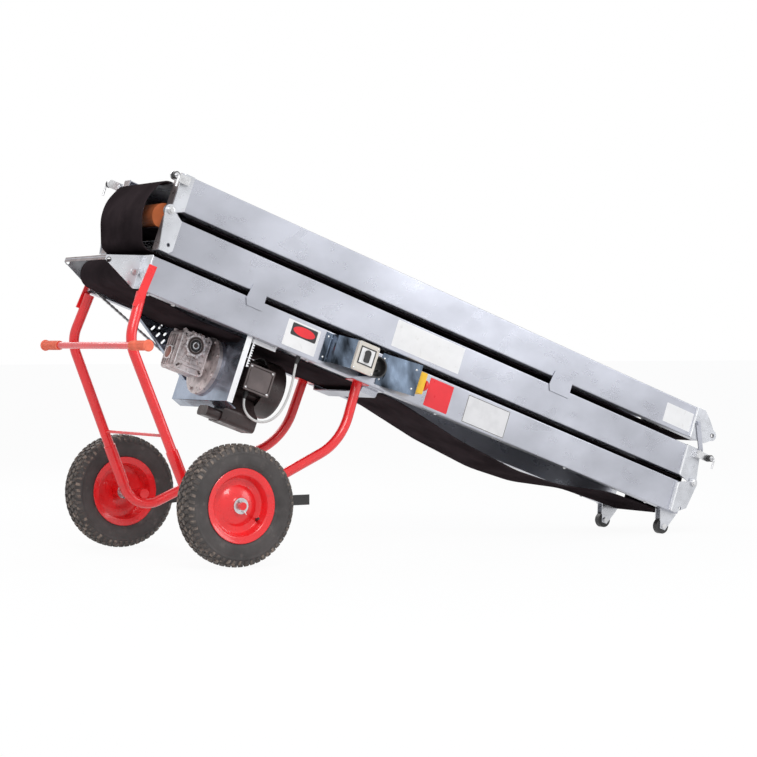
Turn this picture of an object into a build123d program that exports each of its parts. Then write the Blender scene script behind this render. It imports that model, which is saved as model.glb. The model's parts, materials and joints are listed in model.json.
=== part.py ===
"""Folding brick and block elevator, folded and parked on its two wheels and two rear casters.

Lengths are in millimetres and angles in degrees. Three sheet steel bed sections lie on each other
in a zigzag. They are drawn level, in bed coordinates: s runs along the bed towards the casters,
y across it and h square to it. The finished bed is then turned down by TILT. The wheels, the frame
and the handlebar are drawn in machine coordinates: X along, Y across, Z up from the floor. In both,
zero is on the floor under the wheel axle, halfway between the wheels. The controls are on the
near side, which is -Y.
"""
from build123d import *
from collections import namedtuple
from math import acos, atan2, cos, degrees, hypot, pi, radians, sin, tan
import os

TILT = 20.0

# Bed sections: pressed side channels with a deck sheet between them
BED_W = 420.0
SECTION_H = 118.5
SHEET = 2.5
BEND = 4.0
FLANGE = 34.0
GAP_LOW = 22.5
GAP_HIGH = 29.0
DECK_DROP = 32.0
DECK_LIP = 20.0
BED_LEFT = -505.0
BED_LENGTH = 2355.0
END_FLANGE = 42.0

# Belt and its rollers
BELT_W = 300.0
BELT_T = 4.0
TAIL_R = 42.0
TAIL_AHEAD = 29.0
TAIL_RISE = 55.0
HEAD_R = 36.0
HEAD_AHEAD = 18.0
SHAFT_R = 10.0
ROLLER_GAP = 1.0
ROLLER_SHORT = 4.0
SEAT = 0.3
BELT_DROP = 2.0
SLACK_DROP = 70.0
RUN_UP = 84.0
FOLD_ROLLER_R = 43.0
FOLD_ROLLER_IN = 20.0
FOLD_ROLLER_RISE = 8.0
FOLD_ROLLER_W = 270.0
FOLD_SHAFT_R = 7.0
FOLD_BRACKET_Y = 182.0
FOLD_BRACKET_W = 40.0
FOLD_BRACKET_H = 23.0
BULGE = 68.0
RIGHT_WRAP = 26.0

# Folding hinges and end plates
PLATE = 6.0
HINGE_R = 8.0
HINGE_PLAY = 0.05
EAR_R = 20.0
HINGE_HEAD_R = 13.0
HINGE_HEAD = 6.0
HINGE_OUT = 5.0
HINGE_BACK = 23.0
LAP = 46.0
CORNER = 12.0
PLATE_CUT = 31.0
PLATE_GAP = 1.0
MOVING_GAP = 5.0
PLAIN_HOLE_R = 6.5
LOCK_R = 6.5
LOCK_PAD_R = 10.0
LOCK_REACH = 30.0
LOCK_RISE = 108.0
NOSE = 56.0
NOSE_RISE = 39.0

# Fold locks: a spring plunger on a stepped arm, with a bent lever
ARM_T = 6.0
ARM_HALF = 14.0
ARM_PAD = 14.0
ARM_PAD_IN = 11.0
PLUNGER_R = 9.0
PLUNGER_LEN = 18.0
LEVER_R = 3.5
LEVER_OUT = 16.0
LEVER_DROP = 40.0

# Transport latch strap and the tabs that keep the folded sections in line
LATCH_W = 20.0
LATCH_T = 4.0
LATCH_IN = 27.0
LATCH_RISE = 60.0
LATCH_END_IN = 4.0
LATCH_END_DROP = 8.0
TAB_OVER = 30.0
TAB_FOOT = 22.0
TAB_SLANT = 10.0
MID_TAB_START = 355.0
MID_TAB_L = 71.0
TOP_TAB_START = 1623.0
TOP_TAB_L = 98.0

# Feed end
EAR_Y = 154.0
EAR_TIP = 138.0
EAR_TIP_RISE = 58.0
EAR_TIP_H = 15.0
EAR_JOG = 6.0
LIP_W = 26.0

# Bulkhead that carries the drive under the bed
BULKHEAD_S = -94.0
BULKHEAD_DROP = 230.0
BULKHEAD_EDGE = 195.0
BULKHEAD_LIP = 21.0
BULKHEAD_FOOT = 39.0
BULKHEAD_FOOT_DROP = 13.0
BELT_CLEAR = 6.0
BELLY_CLEAR = 24.0

# Motor
MOTOR_Y = 20.0
MOTOR_DROP = 113.0
MOTOR_R = 76.0
MOTOR_LEN = 264.0
FIN = 5.0
FIN_T = 3.0
FIN_COUNT = 20
FIN_START = 28.0
PAD_TURN = 2 * 360 / FIN_COUNT
COWL_R = 98.0
COWL_LEN = 80.0
COWL_T = 3.0
COWL_EDGE = 14.0
COWL_SLOT = 8.0
TERMINAL_START = 82.0
TERMINAL_LEN = 96.0
TERMINAL_H = 84.0
TERMINAL_IN = 50.0
TERMINAL_OUT = 140.0
LID = 14.0
LID_LAP = 4.0
CAPACITOR_START = 46.0
CAPACITOR_LEN = 134.0
CAPACITOR_W = 84.0
CAPACITOR_LOW = 172.0
CAPACITOR_H = 108.0
CAPACITOR_MID_H = 79.0
CAPACITOR_NEAR_H = 49.0
CAPACITOR_Y = -60.0
CAPACITOR_CAP = 54.0
CAPACITOR_CAP_H = 34.0
CAPACITOR_ROUND = 14.0

# Worm gearbox
ADAPTER_R = 100.0
ADAPTER_T = 14.0
ADAPTER_NECK = 16.0
ADAPTER_BOLTS = 8
BOLT_R = 6.0
BOLT_HEAD = 5.0
GEARBOX_LEN = 112.0
GEARBOX_W = 84.0
GEARBOX_H = 132.0
GEARBOX_BELOW = 50.0
GEARBOX_EDGE = 9.0
WORM_R = 36.0
WORM_CAP_R = 24.0
WORM_CAP = 8.0
WORM_OFFSET = 44.0
OUTPUT_R = 12.0
SEAL_R = 21.0
SEAL_T = 4.0
BOSS_RING_R = 38.0
BOSS_RING = 8.0
LUG_R = 11.0
LUG_OUT = 5.0
LUG_HOLE_R = 4.0
RIB = 4.0
RIB_T = 4.0
RIB_PITCH = 13.0

# Chain drive on the far side and its slotted guard
GUARD_Y = 158.0
GUARD_START = 257.0
GUARD_LOW = 163.0
GUARD_TIP = 8.0
GUARD_LIP = 18.0
SLOT_L = 20.0
SLOT_HALF = 3.5
SLOT_PITCH = 30.0
SLOT_ROW = 24.0
SLOT_EDGE = 24.0
SPROCKET_Y = 168.0
SPROCKET_T = 5.0
DRIVE_SPROCKET_R = 30.0
TAIL_SPROCKET_R = 34.0
CHAIN_T = 9.0
CHAIN_W = 8.0
CHAIN_PITCH = 19.05
CHAIN_WAIST = 1.5

# Running gear
TRACK = 834.0
TYRE_R = 197.0
TYRE_W = 100.0
TYRE_SHOULDER = 26.0
TYRE_EDGE = 12.0
RIM_R = 101.5
RIM_LIP_R = 120.0
RIM_W = 78.0
RIM_LIP = 4.0
DISH_R = 87.0
DISH_DEPTH = 33.0
DOME_R = 64.0
HUB_R = 24.0
HUB_W = 66.0
HUB_EDGE = 8.0
AXLE_R = 12.5
AXLE_END = 14.0
WASHER_R = 26.0
WASHER_T = 3.0

# Tube frame
TUBE_R = 17.0
BOSS_R = 17.0
BOSS_LEN = 46.0
FRONT_LEG_S = -504.0
FRONT_LEG_DROP = 168.0
LEG_TOP_GAP = 6.0
FRONT_LEG_Y = 217.0
FOOT_Y = 236.0
FOOT_BACK = 35.0
FOOT_CORNER = 31.0
REAR_LEG_S = 369.3
REAR_LEG_DROP = 214.0
REAR_BEND_Y = 195.0
REAR_LEG_Y = 181.0
FRONT_BEND = 120.0
LOW_BEND = 95.0
REAR_BEND = 220.0
SLEEVE_R = 20.0
SLEEVE_TOP = 365.0
SLEEVE_LOW = 232.0
STRAP_W = 28.0
STRAP_T = 5.0
STRAP_TOP = 87.0
STRAP_LOW = 58.0
STRAP_LEAN = 12.0
ROD_R = 5.0
ROD_Z = 414.0
MOUNT_L = 70.0
MOUNT_T = 2.0
CROSS_L = 65.0
CROSS_T = 4.0
CROSS_DROP = 19.0
CROSS_REACH = 200.0
CROSS_FOOT = 38.0
PEDAL_L = 56.0
PEDAL_H = 34.0
PEDAL_X = 311.0
PEDAL_Z = 192.0
LEVER_X = 40.0
LEVER_Z = 166.0
LEVER_H = 26.0
LEVER_T = 6.0

# Handlebar
HANDLE_Z = 704.0
HANDLE_HALF = 390.0
HANDLE_R = 11.5
GRIP_R = 16.0
GRIP_L = 118.0
GRIP_RIM = 3.0
COPE = 2.0

# Casters
CASTER_BACK = 32.0
CASTER_DROP = 59.5
CASTER_R = 28.0
CASTER_W = 22.0
CASTER_Y = 174.0
CASTER_PIN_R = 5.0
CASTER_NUT = 6.0
FORK = 4.0
FORK_TIP = 12.0
FORK_AHEAD = 34.0
FORK_BEHIND = 44.0

# Controls on the near side of the bottom section
STARTER_S = 263.0
STARTER_L = 84.0
STARTER_H = 100.0
STARTER_RISE = 13.0
STARTER_SHIELD_OUT = 78.0
STARTER_T = 12.0
WINDOW_L = 42.0
WINDOW_H = 44.0
WINDOW_DEPTH = 4.0
ROCKER_L = 17.0
ROCKER_H = 26.0
ROCKER_OUT = 3.0
SHIELD_FOOT = 22.0
SHIELD_START = 203.0
SHIELD_STEP = 30.0
STOP_SHIELD_START = 440.0
STOP_SHIELD_L = 105.0
STOP_SHIELD_OUT = 66.0
STOP_SHIELD_RISE = 11.0
STOP_SHIELD_H = 112.0
STOP_BOX_L = 66.0
STOP_BOX_H = 74.0
STOP_BOX_W = 52.0
STOP_BOX_END = 582.0
BOX_ROUND = 6.0
BUTTON_R = 19.0
BUTTON_NECK_R = 12.0
BUTTON_NECK = 10.0
BUTTON_CAP = 14.0
INLET_S = 392.0
INLET_RISE = 62.0
INLET_R = 37.0
INLET_WALL = 5.0
INLET_OUT = 34.0
INLET_FLOOR = 8.0
INLET_PIN_R = 3.0
INLET_PIN_OUT = 16.0

# Motor cable, held by a gland at each end, in bed coordinates
CABLE_R = 4.25
GLAND_R = 8.0
CABLE = [
    (18, -95, 570), (20, -97, 549), (29, -103, 529), (46, -111, 513), (70, -121, 505),
    (98, -130, 510), (122, -139, 530), (137, -148, 562), (141, -157, 600), (138, -166, 640),
    (130, -175, 679), (121, -183, 706), (117, -187, 726)]

# Shares of the sizes that they follow
BEND_SHARE = 0.49
END_SHARE = 0.98
CABLE_SHARE = 0.45
COWL_SLOT_SHARE = 0.72
HOLE_SHARE = 0.5
WINDOW_SHARE = 0.55
INLET_PIN_SHARE = 0.45

OVERRUN = 20.0
HALF_W = BED_W / 2
HALF_BELT = BELT_W / 2
BED_RIGHT = BED_LEFT + BED_LENGTH
CASTER_S = BED_RIGHT - CASTER_BACK
CASTER_H = (CASTER_R + CASTER_S * sin(radians(TILT))) / cos(radians(TILT))
BOTTOM_H = CASTER_H + CASTER_DROP
BOTTOM_TOP = BOTTOM_H + SECTION_H
MID_H = BOTTOM_TOP + GAP_LOW
MID_TOP = MID_H + SECTION_H
TOP_H = MID_TOP + GAP_HIGH
TOP_TOP = TOP_H + SECTION_H
BOTTOM_DECK_H = BOTTOM_TOP - DECK_DROP
MID_DECK_H = MID_H + DECK_DROP
TOP_DECK_H = TOP_TOP - DECK_DROP
LEFT_HINGE = (BED_LEFT - HINGE_OUT, MID_TOP + GAP_HIGH / 2)
RIGHT_HINGE = (BED_RIGHT + HINGE_BACK, BOTTOM_TOP + GAP_LOW / 2)
INNER_Y = HALF_W
OUTER_Y = HALF_W + PLATE + PLATE_GAP
ARM_Y = OUTER_Y + PLATE + MOVING_GAP
AXLE_Z = TYRE_R

parts = {}


def to_machine(s, h):
    """Bed coordinates to machine X and Z."""
    a = radians(TILT)
    return s * cos(a) + h * sin(a), h * cos(a) - s * sin(a)


def to_bed(x, z):
    """Machine X and Z to bed coordinates."""
    a = radians(TILT)
    return x * cos(a) - z * sin(a), x * sin(a) + z * cos(a)


def polygon(points):
    return make_face(Polyline(*points, close=True))


def box_face(u0, v0, u1, v1):
    """A rectangle between two opposite corners."""
    return Pos((u0 + u1) / 2, (v0 + v1) / 2) * Rectangle(abs(u1 - u0), abs(v1 - v0))


def disc(u, v, radius):
    return Pos(u, v) * Circle(radius)


def turn_angle(before, point, after):
    """How far a path turns at a point, in radians."""
    first = (Vector(*point) - Vector(*before)).normalized()
    second = (Vector(*after) - Vector(*point)).normalized()
    return acos(max(-1, min(1, first.dot(second))))


def bend_radii(points, radii):
    """The radii, each cut down where a run beside its corner has no room for it."""
    fitted = []
    last = len(points) - 2
    for i, radius in enumerate(radii):
        before, point, after = points[i:i + 3]
        room = min((Vector(*point) - Vector(*before)).length * (END_SHARE if i == 0 else BEND_SHARE),
                   (Vector(*after) - Vector(*point)).length * (END_SHARE if i + 1 == last else BEND_SHARE))
        fitted.append(min(radius, room / tan(turn_angle(before, point, after) / 2)))
    return fitted


def offset_point(before, point, after, thick):
    """The point moved by thick to the left of the path that runs through it."""
    ends = [(a, b) for a, b in ((before, point), (point, after)) if a is not None and b is not None]
    normals = []
    for a, b in ends:
        run = hypot(b[0] - a[0], b[1] - a[1])
        normals.append(((a[1] - b[1]) / run, (b[0] - a[0]) / run))
    nx = sum(n[0] for n in normals) / len(normals)
    ny = sum(n[1] for n in normals) / len(normals)
    size = nx * nx + ny * ny
    return point[0] + thick * nx / size, point[1] + thick * ny / size


def turns_left(before, point, after):
    ax, ay = point[0] - before[0], point[1] - before[1]
    bx, by = after[0] - point[0], after[1] - point[1]
    return ax * by - ay * bx > 0


def sheet(points, thick, radii):
    """A folded sheet seen edge on: one skin follows the points, the other lies to their left."""
    inner = points[1:-1]
    if not isinstance(radii, (list, tuple)):
        radii = [radii] * len(inner)
    radii = bend_radii(points, radii)
    other = []
    for i, point in enumerate(points):
        before = points[i - 1] if i else None
        after = points[i + 1] if i + 1 < len(points) else None
        other.append(offset_point(before, point, after, thick))
    other_radii = []
    for i, radius in enumerate(radii):
        left = turns_left(*points[i:i + 3])
        other_radii.append(radius - thick if left else radius + thick)
    first = FilletPolyline(*points, radius=list(radii))
    second = FilletPolyline(*other, radius=other_radii)
    ends = [Line(points[0], other[0]), Line(points[-1], other[-1])]
    return make_face(Curve() + [first, second] + ends)


def across(sketch, y0, y1):
    """An (s, h) or (X, Z) sketch as a solid from y0 to y1."""
    return extrude(Plane.XZ.offset(-y0) * sketch, y1 - y0, dir=(0, 1, 0))


def along(sketch, s0, s1):
    """A (y, h) sketch as a solid from s0 to s1."""
    return extrude(Plane.YZ.offset(s0) * sketch, s1 - s0, dir=(1, 0, 0))


def upward(sketch, h0, h1):
    """An (s, y) sketch as a solid from h0 to h1."""
    return extrude(Plane.XY.offset(h0) * sketch, h1 - h0, dir=(0, 0, 1))


def other_side(shape):
    return mirror(shape, about=Plane.XZ)


def joined(*shapes):
    """Like pieces of one node, which stay separate solids."""
    return Compound(children=[solid for shape in shapes for solid in shape.solids()])


def both_sides(shape):
    return joined(shape, other_side(shape))


def bed(shape):
    """Turn a piece drawn in bed coordinates down to the bed's tilt."""
    return Rot(0, TILT, 0) * shape


def keep(name, shape):
    parts[name] = shape


# Bed sections
Section = namedtuple("Section", "name low deck_h deck_lip end_flange deck_start")
SECTIONS = [
    Section("bottom", BOTTOM_H, BOTTOM_DECK_H, -DECK_LIP, False, BED_LEFT + LAP + PLATE_GAP),
    Section("mid", MID_H, MID_DECK_H, DECK_LIP, True, BED_LEFT + SHEET),
    Section("top", TOP_H, TOP_DECK_H, -DECK_LIP, True, BED_LEFT + SHEET)]


def side_channel(section):
    """Near channel of one section, its flanges turned in, with the folded flange at its left end."""
    low, high = section.low, section.low + SECTION_H
    profile = sheet(
        [(FLANGE - HALF_W, high), (-HALF_W, high), (-HALF_W, low), (FLANGE - HALF_W, low)],
        SHEET, BEND)
    channel = along(profile, BED_LEFT, BED_RIGHT)
    if section.end_flange:
        face = box_face(-HALF_W, low, END_FLANGE - HALF_W, high)
        face = fillet(face.vertices().sort_by(Axis.X)[:2], BEND)
        channel += along(face, BED_LEFT, BED_LEFT + SHEET)
    return channel


def deck(section):
    """Deck sheet, with its long edges turned against the channels."""
    edge = HALF_W - SHEET
    lip_h = section.deck_h + section.deck_lip
    points = [(-edge, lip_h), (-edge, section.deck_h), (edge, section.deck_h), (edge, lip_h)]
    if section.deck_lip < 0:
        points.reverse()
    return along(sheet(points, SHEET, BEND), section.deck_start, BED_RIGHT)


for section in SECTIONS:
    keep(section.name + "_sides", bed(both_sides(side_channel(section))))
    keep(section.name + "_deck", bed(deck(section)))


# End plates and hinges. An outer plate holds the pin; the inner one turns on it.
def plate_face(points, ears, holes):
    """Outline of a lapped plate in the (s, h) plane, with round ears and through holes."""
    face = polygon(points)
    for s, h, radius in ears:
        face += disc(s, h, radius)
    for s, h, radius in holes:
        face -= disc(s, h, radius)
    return face


def near_plate(face, y_in, thick):
    return across(face, -y_in - thick, -y_in)


LEFT_LAP = BED_LEFT + LAP
RIGHT_LAP = BED_RIGHT - LAP


def through(hinge, point):
    """Where a point of the moving section comes to lie after half a turn about the hinge."""
    return hinge[0] + hinge[0] - point[0], hinge[1] + hinge[1] - point[1]


LEFT_LOCK = (LEFT_HINGE[0] - LOCK_REACH, LEFT_HINGE[1] + LOCK_RISE)
RIGHT_LOCK = (RIGHT_HINGE[0] + LOCK_REACH, RIGHT_HINGE[1] + LOCK_RISE)


def outer_plate(points, hinge, lock, low, high):
    """It holds the pin, and a pad seats it on its own section's side."""
    hole = through(hinge, lock)
    face = plate_face(points, [(*hinge, EAR_R)], [(*hinge, HINGE_R), (*hole, LOCK_R)])
    pad = face - disc(*hinge, EAR_R + MOVING_GAP + PLATE) - disc(*hole, LOCK_PAD_R)
    pad &= box_face(BED_LEFT, low, BED_RIGHT, high)
    return near_plate(face, OUTER_Y, PLATE) + near_plate(pad, INNER_Y, OUTER_Y - INNER_Y)


def inner_plate(points, hinge):
    return near_plate(plate_face(
        points, [(*hinge, EAR_R)], [(*hinge, HINGE_R + HINGE_PLAY)]), INNER_Y, PLATE)


mid_left = bed(both_sides(outer_plate(
    [(LEFT_HINGE[0] - EAR_R, LEFT_HINGE[1]), (LEFT_HINGE[0] + EAR_R, LEFT_HINGE[1]),
     (LEFT_LAP, MID_TOP - PLATE), (LEFT_LAP, MID_H + CORNER), (LEFT_LAP - CORNER, MID_H),
     (BED_LEFT, MID_H)],
    LEFT_HINGE, LEFT_LOCK, MID_H, MID_TOP)))

keep("bottom_right_plates", bed(both_sides(outer_plate(
    [(RIGHT_LAP, BOTTOM_H), (RIGHT_LAP, BOTTOM_TOP - PLATE), (RIGHT_HINGE[0] - EAR_R, RIGHT_HINGE[1]),
     (RIGHT_HINGE[0] + EAR_R, RIGHT_HINGE[1]), (RIGHT_HINGE[0], BOTTOM_H + PLATE_CUT),
     (RIGHT_HINGE[0] - LAP, BOTTOM_H)],
    RIGHT_HINGE, RIGHT_LOCK, BOTTOM_H, BOTTOM_TOP))))

top_left = bed(both_sides(inner_plate(
    [(LEFT_HINGE[0] - EAR_R, LEFT_HINGE[1]), (LEFT_HINGE[0] + EAR_R, LEFT_HINGE[1]),
     (LEFT_LAP, TOP_H), (LEFT_LAP, TOP_TOP), (BED_LEFT + CORNER, TOP_TOP),
     (BED_LEFT, TOP_TOP - CORNER), (BED_LEFT, TOP_H)],
    LEFT_HINGE)))

mid_right = bed(both_sides(inner_plate(
    [(RIGHT_LAP, MID_H), (RIGHT_HINGE[0] - EAR_R, RIGHT_HINGE[1]),
     (RIGHT_HINGE[0] + EAR_R, RIGHT_HINGE[1]), (RIGHT_HINGE[0], MID_TOP - CORNER),
     (RIGHT_HINGE[0] - CORNER, MID_TOP), (RIGHT_LAP, MID_TOP)],
    RIGHT_HINGE)))
keep("mid_plates", joined(mid_left, mid_right))

NOSE_HOLE = (BED_RIGHT + NOSE, TOP_H + NOSE_RISE)
top_right = bed(both_sides(near_plate(plate_face(
    [(RIGHT_LAP, TOP_H), (RIGHT_LAP, TOP_TOP), (BED_RIGHT - PLATE, TOP_TOP),
     (BED_RIGHT + NOSE / 2, TOP_TOP - NOSE / 2), (NOSE_HOLE[0] + EAR_R, NOSE_HOLE[1]),
     (NOSE_HOLE[0], NOSE_HOLE[1] - EAR_R), (BED_RIGHT + NOSE / 2, TOP_H)],
    [(*NOSE_HOLE, EAR_R)], [(*NOSE_HOLE, PLAIN_HOLE_R)]), INNER_Y, PLATE)))
keep("top_plates", joined(top_left, top_right))


def hinge_pins(hinge):
    """A headed pin on each side, held in the outer plate and running in the inner one."""
    shank = across(disc(*hinge, HINGE_R), -OUTER_Y - PLATE, -INNER_Y)
    head = across(disc(*hinge, HINGE_HEAD_R), -OUTER_Y - PLATE - HINGE_HEAD, -OUTER_Y - PLATE)
    return both_sides(shank + head)


keep("left_hinge_pins", bed(hinge_pins(LEFT_HINGE)))
keep("right_hinge_pins", bed(hinge_pins(RIGHT_HINGE)))


# Fold locks: the arm steps out over the other section's plate
def fold_lock(lock, root_s):
    """Near lock. Its arm runs from a pad on the plate at root_s out to the plunger."""
    sign = 1 if root_s > lock[0] else -1
    arm = box_face(lock[0], lock[1] - ARM_HALF, root_s, lock[1] + ARM_HALF) + disc(*lock, ARM_HALF)
    pad = box_face(root_s - sign * ARM_PAD, lock[1] - ARM_HALF, root_s, lock[1] + ARM_HALF)
    shape = near_plate(arm, ARM_Y, ARM_T) + near_plate(pad, INNER_Y + PLATE, ARM_Y - INNER_Y - PLATE)
    top_y = ARM_Y + ARM_T + PLUNGER_LEN
    shape += near_plate(disc(*lock, PLUNGER_R), ARM_Y + ARM_T, PLUNGER_LEN)
    corner = (lock[0], -top_y - LEVER_OUT, lock[1])
    route = FilletPolyline(
        (lock[0], -top_y, lock[1]), corner, (lock[0], -top_y - LEVER_OUT, lock[1] - LEVER_DROP),
        radius=LEVER_OUT * BEND_SHARE)
    return shape + sweep(Plane(origin=route @ 0, z_dir=route % 0) * Circle(LEVER_R), path=route)


keep("top_locks", bed(both_sides(fold_lock(LEFT_LOCK, BED_LEFT + ARM_PAD_IN + ARM_PAD))))
keep("mid_locks", bed(both_sides(fold_lock(RIGHT_LOCK, BED_RIGHT - ARM_PAD_IN / 2))))


# Transport latch: a strap from the top section down over the mid one
def latch():
    high = (BED_RIGHT - LATCH_IN, TOP_H + LATCH_RISE)
    low = (RIGHT_HINGE[0] - LATCH_END_IN, MID_TOP - LATCH_END_DROP + PLATE)
    run = hypot(low[0] - high[0], low[1] - high[1])
    middle = ((high[0] + low[0]) / 2, (high[1] + low[1]) / 2)
    angle = degrees(atan2(low[1] - high[1], low[0] - high[0]))
    strap = Pos(*middle) * Rot(0, 0, angle) * SlotCenterToCenter(run, LATCH_W)
    strap -= disc(*low, PLAIN_HOLE_R / 2)
    stud = near_plate(disc(*high, LOCK_R), INNER_Y + PLATE, LATCH_T + PLATE_GAP + LATCH_T)
    return stud + near_plate(strap, INNER_Y + PLATE + PLATE_GAP, LATCH_T)


# Guide tabs: each hangs from its section's side over the one below
def guide_tab(s0, s1, low):
    """Tab on the side of the section whose underside is at low."""
    face = polygon([
        (s0 + TAB_SLANT, low + TAB_FOOT), (s1, low + TAB_FOOT), (s1, low - TAB_OVER - GAP_LOW),
        (s0 + TAB_SLANT, low - TAB_OVER - GAP_LOW), (s0, low - TAB_OVER)])
    foot = box_face(s0 + TAB_SLANT, low, s1, low + TAB_FOOT)
    return near_plate(face, HALF_W + PLATE_GAP, SHEET) + near_plate(foot, HALF_W, PLATE_GAP)


MID_TAB_S = BED_LEFT + MID_TAB_START
TOP_TAB_S = BED_LEFT + TOP_TAB_START
mid_tabs = both_sides(guide_tab(MID_TAB_S, MID_TAB_S + MID_TAB_L, MID_H))
top_tabs = both_sides(guide_tab(TOP_TAB_S, TOP_TAB_S + TOP_TAB_L, TOP_H))
keep("top_clips", bed(joined(top_tabs, both_sides(latch()))))


# Belt, in the stretches that lie on each section and round the folds
def belt_strip(points, radii):
    return across(sheet(points, BELT_T, radii), -HALF_BELT, HALF_BELT)


TAIL = (BED_LEFT - TAIL_AHEAD, BOTTOM_H + TAIL_RISE)
TAIL_WRAP = TAIL_R + SEAT + BELT_T
RETURN_H = TAIL[1] - TAIL_WRAP
BOTTOM_RUN_H = BOTTOM_DECK_H + BELT_T
BELT_END_H = BOTTOM_H - BELT_DROP
BellyPoint = namedtuple("BellyPoint", "length_share drop_share radius")
BELLY = [
    BellyPoint(0.040, -0.05, 200.0), BellyPoint(0.108, 0.16, 400.0), BellyPoint(0.215, 0.02, 900.0),
    BellyPoint(0.452, 0.00, 700.0), BellyPoint(0.580, 0.69, 600.0), BellyPoint(0.694, 1.00, 600.0),
    BellyPoint(0.779, 0.84, 500.0), BellyPoint(0.877, 0.16, 500.0)]
bottom_belt = [
    (BED_RIGHT, BOTTOM_RUN_H), (TAIL[0] + RUN_UP, BOTTOM_RUN_H),
    (TAIL[0] + TAIL_R, TAIL[1] + TAIL_WRAP), (TAIL[0] - TAIL_WRAP, TAIL[1] + TAIL_WRAP),
    (TAIL[0] - TAIL_WRAP, RETURN_H)]
for p in BELLY:
    bottom_belt.append((BED_LEFT + p.length_share * BED_LENGTH, BELT_END_H - p.drop_share * SLACK_DROP))
bottom_belt.append((BED_RIGHT, BELT_END_H))
bottom_radii = [RUN_UP, RUN_UP, TAIL_WRAP, TAIL_WRAP] + [p.radius for p in BELLY]
keep("belt_bottom", bed(belt_strip(bottom_belt, bottom_radii)))

FOLD_ROLLER = (BED_LEFT + FOLD_ROLLER_IN, MID_TOP + FOLD_ROLLER_RISE)
MID_CARRY_H = MID_H - BELT_DROP
MID_BACK_H = FOLD_ROLLER[1] - FOLD_ROLLER_R - SEAT
mid_runs = [
    across(box_face(BED_LEFT, low, BED_RIGHT, low + BELT_T), -HALF_BELT, HALF_BELT)
    for low in (MID_CARRY_H, MID_BACK_H - BELT_T)]
keep("belt_mid", bed(joined(*mid_runs)))

HEAD = (BED_RIGHT + HEAD_AHEAD, TOP_DECK_H - HEAD_R - SEAT)
HEAD_WRAP = HEAD_R + SEAT + BELT_T
TOP_RUN_H = HEAD[1] + HEAD_WRAP
TOP_BACK_H = TOP_H - BELT_DROP
top_belt = [
    (FOLD_ROLLER[0] + FOLD_ROLLER_R + LAP, TOP_BACK_H), (BED_RIGHT - RUN_UP, TOP_BACK_H),
    (HEAD[0] + HEAD_WRAP, HEAD[1] - HEAD_WRAP), (HEAD[0] + HEAD_WRAP, TOP_RUN_H), (BED_LEFT, TOP_RUN_H)]
keep("belt_top", bed(belt_strip(top_belt, [RUN_UP, HEAD_WRAP, HEAD_WRAP])))

BulgePoint = namedtuple("BulgePoint", "out_share down_share")
BULGE_POINTS = [
    BulgePoint(0.0, 0.0), BulgePoint(0.45, 0.0), BulgePoint(1.0, 0.33), BulgePoint(1.0, 0.58),
    BulgePoint(0.42, 1.0), BulgePoint(0.0, 1.0)]
bulge = [
    (BED_LEFT - p.out_share * BULGE, TOP_RUN_H - p.down_share * (TOP_RUN_H - MID_CARRY_H))
    for p in BULGE_POINTS]
keep("belt_left_fold", bed(belt_strip(bulge, BULGE + BULGE)))

wrap_s = BED_RIGHT + RIGHT_WRAP
wrap = [(BED_RIGHT, BELT_END_H), (wrap_s, BELT_END_H), (wrap_s, MID_BACK_H), (BED_RIGHT, MID_BACK_H)]
keep("belt_right_fold", bed(belt_strip(wrap, RIGHT_WRAP)))


# Rollers
def roller(place, radius, half, shaft_r, near_end, far_end):
    """A drum with its shaft, which ends at near_end and far_end from the middle."""
    return across(disc(*place, radius), -half, half) + across(disc(*place, shaft_r), -near_end, far_end)


SHAFT_END = EAR_Y + SHEET + PLATE
ROLLER_HALF = HALF_BELT - ROLLER_SHORT
keep("tail_roller", bed(roller(
    TAIL, TAIL_R, ROLLER_HALF, SHAFT_R, SHAFT_END, SPROCKET_Y + SPROCKET_T)))
keep("head_roller", bed(roller(
    HEAD, HEAD_R, ROLLER_HALF, SHAFT_R, INNER_Y - SEAT, INNER_Y - SEAT)))
keep("fold_roller", bed(roller(
    FOLD_ROLLER, FOLD_ROLLER_R, FOLD_ROLLER_W / 2, FOLD_SHAFT_R,
    FOLD_BRACKET_Y + SHEET + ROLLER_GAP, FOLD_BRACKET_Y + SHEET + ROLLER_GAP)))
bracket_s = FOLD_ROLLER[0] - FOLD_BRACKET_W / 2
bracket = box_face(bracket_s, MID_TOP, bracket_s + FOLD_BRACKET_W, MID_TOP + FOLD_BRACKET_H)
bracket -= disc(*FOLD_ROLLER, FOLD_SHAFT_R + HINGE_PLAY)
bracket -= box_face(
    FOLD_ROLLER[0] - FOLD_SHAFT_R, MID_TOP - PLATE, FOLD_ROLLER[0] + FOLD_SHAFT_R, MID_TOP + PLATE_GAP)
brackets = both_sides(near_plate(bracket, FOLD_BRACKET_Y, SHEET))
keep("mid_clips", bed(joined(mid_tabs, brackets)))

# Feed end: side ears stepped in from the channels, and a lip between their tips
TIP_S = BED_LEFT - EAR_TIP
TIP_HOLE = (TIP_S + CORNER, BOTTOM_H + EAR_TIP_RISE + PLATE / 2)


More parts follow.
